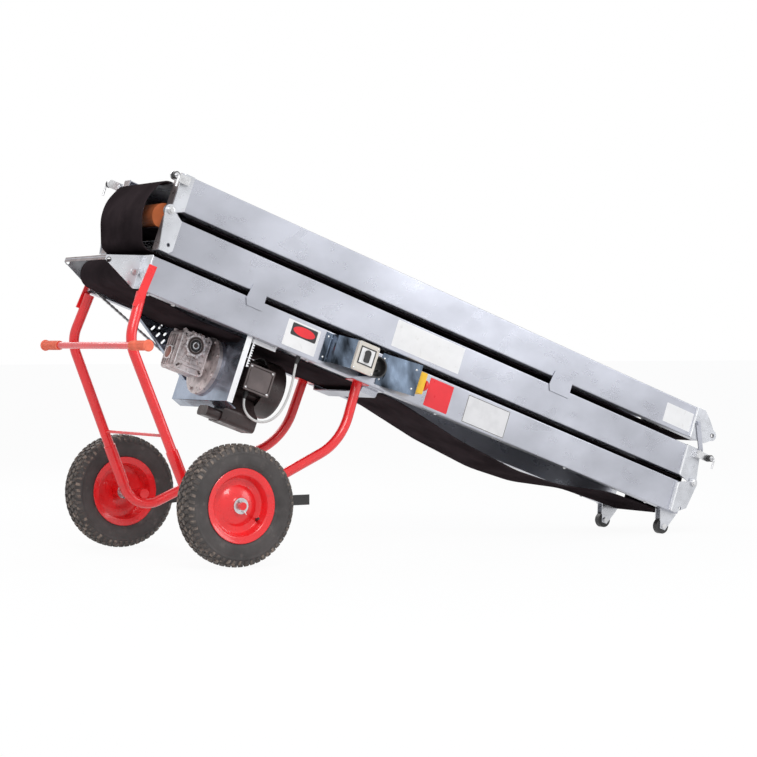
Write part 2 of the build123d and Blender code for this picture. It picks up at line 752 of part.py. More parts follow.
def feed_ear():
    """Near ear: a sheet stepped in plan, cut to its outline seen from the side."""
    plan = sheet(
        [(BED_LEFT + LAP, SHEET + SHEET - HALF_W), (BED_LEFT - EAR_JOG, SHEET + SHEET - HALF_W),
         (BED_LEFT - EAR_JOG - EAR_JOG, -EAR_Y), (TIP_S - OVERRUN, -EAR_Y)],
        SHEET, BEND)
    ear = upward(plan, BOTTOM_H, BOTTOM_TOP + LAP)
    jog_s = BED_LEFT - EAR_JOG
    tip_top = BOTTOM_H + EAR_TIP_RISE + EAR_TIP_H
    top_h = min(tip_top + (jog_s - TIP_S) * tan(radians(TILT)), MID_H - CORNER)
    side = polygon([
        (BED_LEFT + LAP, BOTTOM_H + BEND), (BED_LEFT + LAP, BOTTOM_TOP - BEND),
        (BED_LEFT, BOTTOM_TOP - BEND), (jog_s, top_h), (TIP_S, tip_top),
        (TIP_S, BOTTOM_H + EAR_TIP_RISE), (jog_s - CORNER, BOTTOM_H + BEND)])
    side -= disc(*TIP_HOLE, PLAIN_HOLE_R)
    side -= disc(*TAIL, SHAFT_R + SEAT)
    return ear & across(side, -HALF_W, 0)


chain_gate = box_face(
    BED_LEFT - LAP, SPROCKET_Y - CHAIN_W, BED_LEFT - PLATE_GAP, SPROCKET_Y + CHAIN_W)
near_ear = feed_ear()
far_ear = other_side(near_ear) - upward(chain_gate, BOTTOM_H, TAIL[1] + TAIL_R)
keep("feed_ears", bed(joined(near_ear, far_ear)))
lip_low = BOTTOM_H + EAR_TIP_RISE + EAR_TIP_H / 2
lip_rise = LIP_W * tan(radians(TILT))
keep("feed_lip", bed(across(
    polygon([(TIP_S, lip_low), (TIP_S + LIP_W, lip_low + lip_rise),
             (TIP_S + LIP_W, lip_low + lip_rise + SHEET), (TIP_S, lip_low + SHEET)]), -EAR_Y, EAR_Y)))

# Bulkhead
MOTOR_H = BOTTOM_H - MOTOR_DROP
MOTOR_S = BULKHEAD_S + SHEET
BULKHEAD_LOW = BOTTOM_H - BULKHEAD_DROP
bulkhead = across(sheet(
    [(BULKHEAD_S, BOTTOM_H), (BULKHEAD_S, BULKHEAD_LOW),
     (BULKHEAD_S + BULKHEAD_FOOT, BULKHEAD_LOW - BULKHEAD_FOOT_DROP)], SHEET, BEND),
    -BULKHEAD_EDGE, BULKHEAD_EDGE)
belt_notch = HALF_BELT + BELT_CLEAR
bulkhead -= along(
    box_face(-belt_notch, BOTTOM_H - BELLY_CLEAR, belt_notch, BOTTOM_H + OVERRUN),
    BULKHEAD_S - OVERRUN, BULKHEAD_S + OVERRUN)
bulkhead -= along(
    disc(MOTOR_Y, MOTOR_H, HOLE_SHARE * MOTOR_R), BULKHEAD_S - OVERRUN, BULKHEAD_S + OVERRUN)
for edge in (-BULKHEAD_EDGE, BULKHEAD_EDGE - SHEET):
    bulkhead += along(
        box_face(edge, BULKHEAD_LOW, edge + SHEET, BOTTOM_H), BULKHEAD_S, BULKHEAD_S + BULKHEAD_LIP)
keep("drive_bulkhead", bed(bulkhead))


# Motor with cooling fins, fan cowl and its two boxes
def ring_face(outer, inner):
    return disc(MOTOR_Y, MOTOR_H, outer) - disc(MOTOR_Y, MOTOR_H, inner)


COWL_S = MOTOR_S + MOTOR_LEN - COWL_LEN
FIN_R = MOTOR_R + FIN
motor = along(disc(MOTOR_Y, MOTOR_H, MOTOR_R), MOTOR_S, COWL_S + COWL_LEN / 2)
fin = Pos(MOTOR_R, 0) * Rectangle(FIN + FIN, FIN_T)
fins = Sketch() + [Rot(0, 0, i * 360 / FIN_COUNT) * fin for i in range(FIN_COUNT)]
motor += along(Pos(MOTOR_Y, MOTOR_H) * fins, MOTOR_S + FIN_START, COWL_S + COWL_LEN / 2)
motor += along(disc(MOTOR_Y, MOTOR_H, FIN_R), MOTOR_S, MOTOR_S + ADAPTER_T)
keep("motor", bed(motor))

end_s = COWL_S + COWL_LEN
cowl_in = COWL_R - COWL_T
cowl = along(ring_face(COWL_R, cowl_in), COWL_S, end_s - COWL_EDGE)
profile = FilletPolyline(
    (end_s - COWL_EDGE, COWL_R), (end_s, COWL_R), (end_s, 0), radius=COWL_EDGE * BEND_SHARE * 2)
cap = profile + [Line((end_s, 0), (end_s - COWL_T, 0)),
                 Line((end_s - COWL_T, 0), (end_s - COWL_T, cowl_in)),
                 Line((end_s - COWL_T, cowl_in), (end_s - COWL_EDGE, cowl_in)),
                 Line((end_s - COWL_EDGE, cowl_in), (end_s - COWL_EDGE, COWL_R))]
cowl_cap = Pos(0, MOTOR_Y, MOTOR_H) * revolve(Plane.XY * make_face(Curve() + cap), Axis.X)
slots = Sketch()
for i in range(ADAPTER_BOLTS + ADAPTER_BOLTS):
    slot = Pos(COWL_SLOT_SHARE * cowl_in, 0) * SlotOverall(cowl_in / 2, COWL_SLOT)
    slots += Rot(0, 0, i * 180 / ADAPTER_BOLTS) * slot
cowl_cap -= along(Pos(MOTOR_Y, MOTOR_H) * slots, end_s - COWL_EDGE, end_s + OVERRUN)
pads = Sketch()
for i in range(4):
    pads += Rot(0, 0, i * 90 + PAD_TURN) * box_face(FIN_R + SEAT, -PLATE, cowl_in + COWL_T / 2, PLATE)
cowl += cowl_cap + along(Pos(MOTOR_Y, MOTOR_H) * pads, COWL_S, COWL_S + CORNER)
keep("fan_cowl", bed(cowl))

term_s = MOTOR_S + TERMINAL_START
term_out = MOTOR_Y - TERMINAL_OUT
term_face = box_face(term_out, MOTOR_H - TERMINAL_H / 2, MOTOR_Y - TERMINAL_IN, MOTOR_H + TERMINAL_H / 2)
lid_half = TERMINAL_H / 2 + LID_LAP
lid_face = box_face(term_out, MOTOR_H - lid_half, term_out + LID, MOTOR_H + lid_half)
terminal = along(term_face, term_s, term_s + TERMINAL_LEN)
terminal += along(lid_face, term_s - LID_LAP, term_s + TERMINAL_LEN + LID_LAP)
terminal = fillet(terminal.edges().filter_by(Axis.Y).group_by(SortBy.LENGTH)[0], BOX_ROUND)
terminal -= along(disc(MOTOR_Y, MOTOR_H, FIN_R + SEAT), term_s - OVERRUN, term_s + MOTOR_LEN)
keep("terminal_box", bed(terminal))

cap_s = MOTOR_S + CAPACITOR_START
cap_low = MOTOR_H - CAPACITOR_LOW
cap_near = CAPACITOR_Y - CAPACITOR_W / 2
cap_far = CAPACITOR_Y + CAPACITOR_W / 2
cap_face = polygon([
    (cap_far, cap_low), (cap_near, cap_low), (cap_near, cap_low + CAPACITOR_NEAR_H),
    (CAPACITOR_Y, cap_low + CAPACITOR_MID_H), (CAPACITOR_Y + CAPACITOR_W / 4, cap_low + CAPACITOR_H),
    (cap_far, cap_low + CAPACITOR_H)])
cap_face = fillet(cap_face.vertices().sort_by(Axis.X)[:2], CAPACITOR_ROUND)
capacitor = along(cap_face, cap_s, cap_s + CAPACITOR_LEN)
end_cap = RectangleRounded(CAPACITOR_W - LID, CAPACITOR_CAP_H, CAPACITOR_ROUND)
capacitor += along(
    Pos(CAPACITOR_Y, cap_low + CAPACITOR_CAP_H / 2 + LID_LAP / 2) * end_cap, cap_s - CAPACITOR_CAP, cap_s)
capacitor -= along(disc(MOTOR_Y, MOTOR_H, FIN_R + SEAT), cap_s - OVERRUN, cap_s + MOTOR_LEN)
keep("capacitor_box", bed(capacitor))

# Worm gearbox: ribbed housing with corner lugs, bearing rings, worm cover and bolted flange
BODY_END = BULKHEAD_S - ADAPTER_T - ADAPTER_NECK
BODY_S = BODY_END - GEARBOX_LEN
BODY_LOW = MOTOR_H - GEARBOX_BELOW
BODY_HIGH = BODY_LOW + GEARBOX_H
BODY_NEAR = MOTOR_Y - GEARBOX_W / 2
BODY_FAR = MOTOR_Y + GEARBOX_W / 2
OUTPUT = ((BODY_S + BODY_END) / 2, MOTOR_H + WORM_OFFSET)
body_face = box_face(BODY_S, BODY_LOW, BODY_END, BODY_HIGH)
body_face = chamfer(body_face.vertices(), GEARBOX_EDGE)
gearbox = across(body_face, BODY_NEAR, BODY_FAR)
gearbox += across(disc(*OUTPUT, BOSS_RING_R), BODY_NEAR - BOSS_RING, BODY_FAR + BOSS_RING)
lugs = [(s, h) for s in (BODY_S + LUG_R, BODY_END - LUG_R) for h in (BODY_LOW + LUG_R, BODY_HIGH - LUG_R)]
for place in lugs:
    gearbox += across(disc(*place, LUG_R), BODY_NEAR - LUG_OUT, BODY_FAR + LUG_OUT)
for i in range(3):
    rib_h = BODY_LOW + LUG_R + LUG_R + i * RIB_PITCH
    if rib_h < OUTPUT[1] - SEAL_R:
        rib = box_face(BODY_S + GEARBOX_EDGE, rib_h - RIB_T / 2, BODY_END - GEARBOX_EDGE, rib_h + RIB_T / 2)
        gearbox += across(rib, BODY_NEAR - RIB, BODY_FAR + RIB)
for place in lugs:
    gearbox -= across(disc(*place, LUG_HOLE_R), BODY_NEAR - OVERRUN, BODY_FAR + OVERRUN)
gearbox += along(disc(MOTOR_Y, MOTOR_H, WORM_R), BODY_END, BULKHEAD_S - ADAPTER_T)
gearbox += along(disc(MOTOR_Y, MOTOR_H, WORM_CAP_R), BODY_S - WORM_CAP, BODY_S)
gearbox += along(disc(MOTOR_Y, MOTOR_H, ADAPTER_R), BULKHEAD_S - ADAPTER_T, BULKHEAD_S)
for i in range(ADAPTER_BOLTS):
    bolt = Pos(ADAPTER_R - BOLT_R - BOLT_HEAD, 0) * RegularPolygon(BOLT_R, 6)
    bolt = Rot(0, 0, (i + HOLE_SHARE) * 360 / ADAPTER_BOLTS) * bolt
    gearbox += along(
        Pos(MOTOR_Y, MOTOR_H) * bolt, BULKHEAD_S - ADAPTER_T - BOLT_HEAD, BULKHEAD_S - ADAPTER_T)
gearbox -= across(disc(*OUTPUT, SEAL_R), BODY_NEAR - BOSS_RING, BODY_NEAR - BOSS_RING + SEAL_T)
gearbox -= across(disc(*OUTPUT, OUTPUT_R + HINGE_PLAY), BODY_NEAR - OVERRUN, BODY_FAR + OVERRUN)
keep("gearbox", bed(gearbox))
keep("output_seal", bed(across(
    disc(*OUTPUT, SEAL_R) - disc(*OUTPUT, OUTPUT_R + HINGE_PLAY),
    BODY_NEAR - BOSS_RING, BODY_NEAR - BOSS_RING + SEAL_T)))
keep("output_shaft", bed(across(
    disc(*OUTPUT, OUTPUT_R), BODY_NEAR - BOSS_RING - PLATE_GAP, SPROCKET_Y + SPROCKET_T)))


# Guard between the belt and the chain, with rows of slots square to its sloping edge
def guard():
    low_right = (BULKHEAD_S, BOTTOM_H - GUARD_LOW)
    low_left = (BULKHEAD_S - GUARD_START, BOTTOM_H - GUARD_TIP)
    run = hypot(low_left[0] - low_right[0], low_left[1] - low_right[1])
    along_edge = ((low_left[0] - low_right[0]) / run, (low_left[1] - low_right[1]) / run)
    inward = (along_edge[1], -along_edge[0])
    face = polygon([low_right, (BULKHEAD_S, BOTTOM_H), (low_left[0], BOTTOM_H), low_left])
    angle = degrees(atan2(inward[1], inward[0]))
    rows = 0
    while SLOT_EDGE + rows * SLOT_ROW < GUARD_LOW / 2:
        from_edge = SLOT_EDGE + rows * SLOT_ROW
        start = SLOT_PITCH * (HOLE_SHARE if rows % 2 else 1)
        while start < run - SLOT_PITCH:
            s = low_right[0] + along_edge[0] * start + inward[0] * from_edge
            h = low_right[1] + along_edge[1] * start + inward[1] * from_edge
            if h < BOTTOM_H - SLOT_L and s < BULKHEAD_S - SLOT_L:
                face -= Pos(s, h) * Rot(0, 0, angle) * SlotOverall(SLOT_L, SLOT_HALF + SLOT_HALF)
            start += SLOT_PITCH
        rows += 1
    face -= disc(*OUTPUT, OUTPUT_R + ROLLER_GAP)
    lip = polygon([
        low_right, low_left, (low_left[0] + inward[0] * SHEET, low_left[1] + inward[1] * SHEET),
        (low_right[0], low_right[1] + SHEET / abs(along_edge[0]))])
    top = box_face(BULKHEAD_S - GUARD_START / 2, BOTTOM_H - SHEET, BULKHEAD_S, BOTTOM_H)
    return (across(face, GUARD_Y, GUARD_Y + SHEET) + across(lip, GUARD_Y - GUARD_LIP, GUARD_Y)
            + across(top, GUARD_Y, HALF_W - FLANGE / 2))


keep("chain_guard", bed(guard()))


# Chain loop round the output and tail sprockets
def chain_face():
    """The loop seen from the side, full at each pin and narrower between pins."""
    ra, rb = DRIVE_SPROCKET_R, TAIL_SPROCKET_R
    dx, dh = TAIL[0] - OUTPUT[0], TAIL[1] - OUTPUT[1]
    span = hypot(dx, dh)
    toward = atan2(dh, dx)
    lean = acos((ra - rb) / span)
    straight = span * sin(lean)
    stretches = [ra * (pi + pi - lean - lean), straight, rb * (lean + lean), straight]
    total = sum(stretches)
    steps = 2 * round(total / CHAIN_PITCH)

    def place(distance):
        """Point on the loop's middle line, and the outward direction there."""
        if distance < stretches[0]:
            angle = toward + lean + distance / ra
            return OUTPUT, ra, angle, 0
        distance -= stretches[0]
        if distance < straight:
            return OUTPUT, ra, toward - lean, distance
        distance -= straight
        if distance < stretches[2]:
            return TAIL, rb, toward - lean + distance / rb, 0
        return TAIL, rb, toward + lean, distance - stretches[2]

    outer, inner = [], []
    for i in range(steps):
        centre, radius, angle, ahead = place(i * total / steps)
        half = CHAIN_T / 2 - (CHAIN_WAIST if i % 2 else 0)
        way = (-sin(angle), cos(angle))
        for ring, reach in ((outer, radius + half), (inner, radius - half)):
            ring.append((centre[0] + reach * cos(angle) + ahead * way[0],
                         centre[1] + reach * sin(angle) + ahead * way[1]))
    return polygon(outer) - polygon(inner)


keep("drive_chain", bed(across(chain_face(), SPROCKET_Y - CHAIN_W / 2, SPROCKET_Y + CHAIN_W / 2)))
sprockets = []
for place, radius, bore in ((OUTPUT, DRIVE_SPROCKET_R, OUTPUT_R), (TAIL, TAIL_SPROCKET_R, SHAFT_R)):
    face = disc(*place, radius - CHAIN_T / 2 - SEAT) - disc(*place, bore + HINGE_PLAY)
    sprockets.append(across(face, SPROCKET_Y - SPROCKET_T / 2, SPROCKET_Y + SPROCKET_T / 2))
keep("chain_sprockets", bed(joined(*sprockets)))


# Frame sides: one bent tube each, with its axle boss, sleeve, bed strap and rear mount
def frame_points():
    """Corners of the near tube, as s, y and h."""
    foot_z = AXLE_Z - BOSS_R - TUBE_R - FOOT_CORNER
    foot_s, foot_h = to_bed(-FOOT_BACK, foot_z)
    return [
        (FRONT_LEG_S, TUBE_R - HALF_W, BOTTOM_H - LEG_TOP_GAP),
        (FRONT_LEG_S, -FRONT_LEG_Y, BOTTOM_H - FRONT_LEG_DROP),
        (foot_s, -FOOT_Y, foot_h),
        (REAR_LEG_S, -REAR_BEND_Y, BOTTOM_H - REAR_LEG_DROP),
        (REAR_LEG_S, -REAR_LEG_Y, BOTTOM_H - MOUNT_T)]


def tube(path, radius):
    return sweep(Plane(origin=path @ 0, z_dir=path % 0) * Circle(radius), path=path)


FRAME = frame_points()
LEG_TOP = Vector(*to_machine(FRAME[1][0], FRAME[1][2]), FRAME[1][1])
LEG_LOW = Vector(*to_machine(FRAME[2][0], FRAME[2][2]), FRAME[2][1])


def leg_point(z):
    """Centre of the near front leg at a height, as X, Y and Z in machine coordinates."""
    share = (z - LEG_TOP.Y) / (LEG_LOW.Y - LEG_TOP.Y)
    point = LEG_TOP + (LEG_LOW - LEG_TOP) * share
    return Vector(point.X, point.Z, z)


def side_frame():
    frame = bed(tube(FilletPolyline(*FRAME, radius=[FRONT_BEND, LOW_BEND, REAR_BEND]), TUBE_R))
    strap_s = FRONT_LEG_S + PLATE_GAP
    strap = polygon([
        (strap_s - STRAP_W / 2, BOTTOM_H + STRAP_TOP), (strap_s + STRAP_W / 2, BOTTOM_H + STRAP_TOP),
        (strap_s + STRAP_W / 2 - STRAP_LEAN, BOTTOM_H - STRAP_LOW),
        (strap_s - STRAP_W / 2 - STRAP_LEAN, BOTTOM_H - STRAP_LOW)])
    frame += bed(near_plate(strap, HALF_W, STRAP_T))
    mount = Pos(REAR_LEG_S, -REAR_LEG_Y) * Rectangle(MOUNT_L, TUBE_R + TUBE_R + PLATE + PLATE)
    frame += bed(upward(mount, BOTTOM_H - MOUNT_T, BOTTOM_H))
    frame += across(disc(0, AXLE_Z, BOSS_R), -FOOT_Y - BOSS_LEN + CORNER, CORNER - FOOT_Y)
    frame += tube(Line(leg_point(SLEEVE_TOP), leg_point(SLEEVE_LOW)), SLEEVE_R)
    frame -= across(disc(0, AXLE_Z, AXLE_R), -FOOT_Y - BOSS_LEN, CORNER - FOOT_Y)
    return frame - across(disc(HANDLE_X, HANDLE_Z, HANDLE_R), -HANDLE_HALF, HANDLE_HALF)


bend_cut = FRONT_BEND / cos(turn_angle(*FRAME[:3]) / 2) - FRONT_BEND
HANDLE_X = LEG_TOP.X + bend_cut - TUBE_R - HANDLE_R + COPE
near_frame = side_frame()
far_frame = other_side(near_frame)
keep("side_frame_near", near_frame)
keep("side_frame_far", far_frame)

rod_at = leg_point(ROD_Z)
rod = across(disc(rod_at.X, ROD_Z, ROD_R), rod_at.Y, -rod_at.Y)
rod = rod - near_frame - far_frame

bar_end = HANDLE_HALF - CORNER / 2
keep("handlebar", joined(across(disc(HANDLE_X, HANDLE_Z, HANDLE_R), -bar_end, bar_end), rod))
grip = across(disc(HANDLE_X, HANDLE_Z, GRIP_R), -HANDLE_HALF, GRIP_L - HANDLE_HALF)
grip += across(disc(HANDLE_X, HANDLE_Z, GRIP_R + GRIP_RIM), -HANDLE_HALF, GRIP_RIM - HANDLE_HALF)
grip -= across(disc(HANDLE_X, HANDLE_Z, HANDLE_R), -bar_end, 0)
keep("grips", both_sides(grip))

cross = [
    (CROSS_REACH, BOTTOM_H - CROSS_T), (CROSS_REACH - CROSS_FOOT, BOTTOM_H - CROSS_T),
    (CROSS_REACH - CROSS_FOOT - CROSS_T, BOTTOM_H - CROSS_T - CROSS_DROP)]
cross_path = [(-y, h) for y, h in cross] + cross[::-1]
cross_s = REAR_LEG_S + MOUNT_L / 2 + PLATE_GAP
keep("rear_crossmember", bed(along(sheet(cross_path, CROSS_T, BEND + BEND), cross_s, cross_s + CROSS_L)))

# Foot bars bolted to the lower tubes
lever_y = FOOT_Y + TUBE_R + SEAT
lever = polygon([
    (LEVER_X, LEVER_Z + LEVER_H / 2), (PEDAL_X, PEDAL_Z + PEDAL_H / 2),
    (PEDAL_X, PEDAL_Z - PEDAL_H / 2), (LEVER_X, LEVER_Z - LEVER_H / 2)])
lever += disc(LEVER_X, LEVER_Z, LEVER_H / 2)
pedal = box_face(PEDAL_X, PEDAL_Z - PEDAL_H / 2, PEDAL_X + PEDAL_L, PEDAL_Z + PEDAL_H / 2)
foot_bar = near_plate(lever, lever_y, LEVER_T) + near_plate(pedal, lever_y, LEVER_T)
foot_bar += near_plate(disc(LEVER_X, LEVER_Z, BOLT_R), FOOT_Y - BOLT_R, lever_y - FOOT_Y + BOLT_R)
foot_bar -= near_frame
keep("foot_bars", both_sides(foot_bar.solids().sort_by(SortBy.VOLUME)[-1]))

# Wheels. Each profile is half a section: distance out from the wheel's middle, and radius.
WHEEL_Y = TRACK / 2
BEAD_W = RIM_W / 2 - PLATE_GAP
tyre_half = [
    (BEAD_W, RIM_R), (BEAD_W, RIM_LIP_R + PLATE_GAP), (TYRE_W / 2, RIM_LIP_R + TYRE_SHOULDER),
    (TYRE_W / 2, TYRE_R - TYRE_SHOULDER), (TYRE_W / 2 - TYRE_EDGE, TYRE_R - TYRE_EDGE / 2),
    (TYRE_W / 4, TYRE_R)]
tyre_profile = tyre_half + [(-w, r) for w, r in tyre_half[::-1]]
rim_out = RIM_W / 2 + RIM_LIP
dish_w = rim_out - DISH_DEPTH
hub_half = HUB_W / 2
bore_r = AXLE_R + HINGE_PLAY
rim_profile = [
    (rim_out, RIM_LIP_R), (rim_out, RIM_LIP_R - RIM_LIP), (RIM_W / 2, RIM_R - RIM_LIP), (dish_w, DISH_R),
    (dish_w, DOME_R), (hub_half - HUB_EDGE, HUB_R + HUB_EDGE), (hub_half, HUB_R), (hub_half, bore_r),
    (-hub_half, bore_r), (-hub_half, HUB_R), (hub_half - HUB_EDGE - HUB_EDGE, HUB_R),
    (dish_w - RIM_LIP, DOME_R), (dish_w - RIM_LIP, DISH_R + RIM_LIP), (-RIM_W / 2, RIM_R - RIM_LIP),
    (-rim_out, RIM_LIP_R - RIM_LIP), (-rim_out, RIM_LIP_R), (-RIM_W / 2, RIM_LIP_R), (-RIM_W / 2, RIM_R),
    (RIM_W / 2, RIM_R), (RIM_W / 2, RIM_LIP_R)]


def turned(profile):
    """A near wheel piece turned about the axle from its half section."""
    face = polygon([(r, w) for w, r in profile])
    return Pos(0, -WHEEL_Y, AXLE_Z) * Rot(90, 0, 0) * revolve(Plane.XZ * face, Axis.Z)


near_tyre = turned(tyre_profile)
near_rim = turned(rim_profile)
keep("tyre_near", near_tyre)
keep("tyre_far", other_side(near_tyre))
keep("rim_near", near_rim)
keep("rim_far", other_side(near_rim))
nut_y = WHEEL_Y + hub_half + PLATE_GAP
stub = across(disc(0, AXLE_Z, AXLE_R), -nut_y - WASHER_T - AXLE_END, CORNER - FOOT_Y)
keep("stub_axles", both_sides(stub))
washer = disc(0, AXLE_Z, WASHER_R) - disc(0, AXLE_Z, AXLE_R)
outer_washer = near_plate(washer, nut_y, WASHER_T)
inner_washer = near_plate(washer, WHEEL_Y - hub_half - PLATE_GAP - WASHER_T, WASHER_T)
washers = joined(both_sides(outer_washer), both_sides(inner_washer))

# Casters under the bottom section's right end
CHEEK_Y = CASTER_W / 2 + PLATE_GAP
fork = polygon([
    (CASTER_S - FORK_AHEAD, BOTTOM_H), (CASTER_S - FORK_TIP, CASTER_H - FORK_TIP),
    (CASTER_S + FORK_TIP, CASTER_H - FORK_TIP), (CASTER_S + FORK_BEHIND, BOTTOM_H)])
cheeks = near_plate(fork, CASTER_Y + CHEEK_Y, FORK) + near_plate(fork, CASTER_Y - CHEEK_Y - FORK, FORK)
bridge = box_face(CASTER_S - FORK_AHEAD, BOTTOM_H - FORK, CASTER_S + FORK_BEHIND, BOTTOM_H)
cheeks += near_plate(bridge, CASTER_Y - CHEEK_Y, CHEEK_Y + CHEEK_Y)
cheeks -= across(disc(CASTER_S, CASTER_H, CASTER_PIN_R), -HALF_W, 0)
keep("caster_forks", bed(both_sides(cheeks)))
pin_y = CHEEK_Y + FORK
caster_pin = across(disc(CASTER_S, CASTER_H, CASTER_PIN_R), -CASTER_Y - pin_y, pin_y - CASTER_Y)
nut = Pos(CASTER_S, CASTER_H) * RegularPolygon(CASTER_PIN_R + CASTER_PIN_R, 6)
caster_pin += near_plate(nut, CASTER_Y + pin_y, CASTER_NUT)
caster_pin += near_plate(nut, CASTER_Y - pin_y - CASTER_NUT, CASTER_NUT)
keep("wheel_fasteners", joined(washers, bed(both_sides(caster_pin))))
caster_face = disc(CASTER_S, CASTER_H, CASTER_R) - disc(CASTER_S, CASTER_H, CASTER_PIN_R + HINGE_PLAY)
near_caster = bed(near_plate(caster_face, CASTER_Y - CASTER_W / 2, CASTER_W))
keep("caster_wheel_near", near_caster)
keep("caster_wheel_far", other_side(near_caster))


# Controls: two folded shields, the starter, the power inlet and the stop box
def shield(plan_points, low, height):
    return upward(sheet(plan_points, SHEET, BEND), low, low + height)


starter_y = HALF_W + STARTER_SHIELD_OUT
starter_low = BOTTOM_H + STARTER_RISE
starter_end = STARTER_S + STARTER_L
first_shield = shield([
    (SHIELD_START - SHIELD_FOOT, -HALF_W - SHEET), (SHIELD_START, -HALF_W - SHEET),
    (SHIELD_START + SHIELD_STEP / 3, -HALF_W - SHIELD_STEP), (STARTER_S, -starter_y),
    (starter_end + SHEET, -starter_y), (starter_end + SHEET, -HALF_W)], starter_low, STARTER_H)

inlet_h = BOTTOM_H + INLET_RISE
stop_low = BOTTOM_H + STOP_SHIELD_RISE
stop_tip_s = STOP_SHIELD_START + STOP_SHIELD_L
stop_tip_y = -HALF_W - STOP_SHIELD_OUT
second_shield = shield([
    (STOP_SHIELD_START - SHIELD_FOOT, -HALF_W - SHEET), (STOP_SHIELD_START, -HALF_W - SHEET),
    (stop_tip_s, stop_tip_y)], stop_low, STOP_SHIELD_H)
gusset = polygon([
    (STOP_SHIELD_START, -HALF_W), (stop_tip_s - CORNER, stop_tip_y + CORNER), (stop_tip_s - CORNER, -HALF_W)])
second_shield += upward(gusset, stop_low + STOP_SHIELD_H - SHEET, stop_low + STOP_SHIELD_H)
second_shield -= near_plate(disc(INLET_S, inlet_h, INLET_R + PLATE_GAP), HALF_W - SHEET, INLET_OUT)
keep("control_shields", bed(joined(first_shield, second_shield)))

starter_face = box_face(STARTER_S, starter_low, starter_end, starter_low + STARTER_H)
starter = near_plate(fillet(starter_face.vertices(), BOX_ROUND), starter_y, STARTER_T)
window_s = STARTER_S + STARTER_L / 2
window_h = starter_low + STARTER_H * WINDOW_SHARE
window = Pos(window_s, window_h) * Rectangle(WINDOW_L, WINDOW_H)
starter -= near_plate(window, starter_y + STARTER_T - WINDOW_DEPTH, OVERRUN)
keep("switch_box", bed(starter))
rocker = Pos(window_s, window_h) * Rectangle(ROCKER_L, ROCKER_H)
rocker = near_plate(rocker, starter_y + STARTER_T - WINDOW_DEPTH, WINDOW_DEPTH + ROCKER_OUT)

inlet = near_plate(disc(INLET_S, inlet_h, INLET_R), HALF_W, INLET_OUT)
inlet -= near_plate(disc(INLET_S, inlet_h, INLET_R - INLET_WALL), HALF_W + INLET_FLOOR, INLET_OUT)
for i in range(3):
    at = Rot(0, 0, i * 120 + 90) * Pos(INLET_R * INLET_PIN_SHARE, 0) * Circle(INLET_PIN_R)
    inlet += near_plate(Pos(INLET_S, inlet_h) * at, HALF_W + INLET_FLOOR, INLET_PIN_OUT)
keep("inlet_and_rocker", bed(joined(inlet, rocker)))

box_low = stop_low + OVERRUN
box_start = STOP_BOX_END - STOP_BOX_L
stop_box = near_plate(box_face(box_start, box_low, STOP_BOX_END, box_low + STOP_BOX_H), HALF_W, STOP_BOX_W)
shield_run = (stop_tip_y + HALF_W) / STOP_SHIELD_L
behind_s = STOP_BOX_END + OVERRUN
behind = polygon([
    (STOP_SHIELD_START + MOVING_GAP, -HALF_W), (behind_s, -HALF_W),
    (behind_s, shield_run * (behind_s - STOP_SHIELD_START - MOVING_GAP) - HALF_W)])
stop_box &= upward(behind, stop_low, stop_low + STOP_SHIELD_H)
keep("stop_box", bed(stop_box))
button_y = -HALF_W - STOP_BOX_W / 2
button_h = box_low + STOP_BOX_H / 2
button = along(disc(button_y, button_h, BUTTON_NECK_R), STOP_BOX_END, STOP_BOX_END + BUTTON_NECK)
button += along(
    disc(button_y, button_h, BUTTON_R), STOP_BOX_END + BUTTON_NECK, STOP_BOX_END + BUTTON_NECK + BUTTON_CAP)
button = fillet(button.edges().filter_by(GeomType.CIRCLE).sort_by(Axis.X)[-1], BUTTON_CAP * BEND_SHARE)
keep("stop_button", bed(button))

# Motor cable
cable_radii = []
for i in range(1, len(CABLE) - 1):
    before, point, after = CABLE[i - 1:i + 2]
    run = min((Vector(*point) - Vector(*before)).length, (Vector(*after) - Vector(*point)).length)
    cable_radii.append(CABLE_SHARE * run / tan(turn_angle(before, point, after) / 2))
cable_path = FilletPolyline(*CABLE, radius=cable_radii)
cable = tube(cable_path, CABLE_R)
keep("motor_cable", bed(cable))
print("cable radii", *[round(r, 1) for r in cable_radii])
print("cable length", cable_path.length)
print("cable volume share", cable.volume / (cable_path.length * pi * CABLE_R ** 2))
start_s, start_y, start_h = CABLE[0]
end_s, end_y, end_h = CABLE[-1]
glands = [
    upward(disc(start_s, start_y, GLAND_R), start_h, MOTOR_H - TERMINAL_H / 2 - LID_LAP),
    upward(disc(end_s, end_y, GLAND_R), end_h, BOTTOM_H)]
keep("motor_cable_glands", bed(joined(*[gland - cable for gland in glands])))

# Write the pieces, with zero moved to the middle of the machine's length
boxes = [shape.bounding_box() for shape in parts.values()]
MIDDLE_X = (min(b.min.X for b in boxes) + max(b.max.X for b in boxes)) / 2
for label, (x, z) in (
        ("left hinge", to_machine(*LEFT_HINGE)), ("right hinge", to_machine(*RIGHT_HINGE)),
        ("axle", (0, AXLE_Z)), ("caster", to_machine(CASTER_S, CASTER_H)),
        ("nose hole", to_machine(*NOSE_HOLE)), ("tip hole", to_machine(*TIP_HOLE))):
    print(label, x - MIDDLE_X, z)
print("nose plate y", INNER_Y + PLATE / 2)
print("plain hole", PLAIN_HOLE_R, PLATE)
print("tip hole span", EAR_Y + EAR_Y + SHEET + SHEET)
print("middle x", MIDDLE_X)

os.makedirs("parts", exist_ok=True)
for name, shape in parts.items():
    export_step(Pos(-MIDDLE_X, 0, 0) * shape, "parts/" + name + ".step")
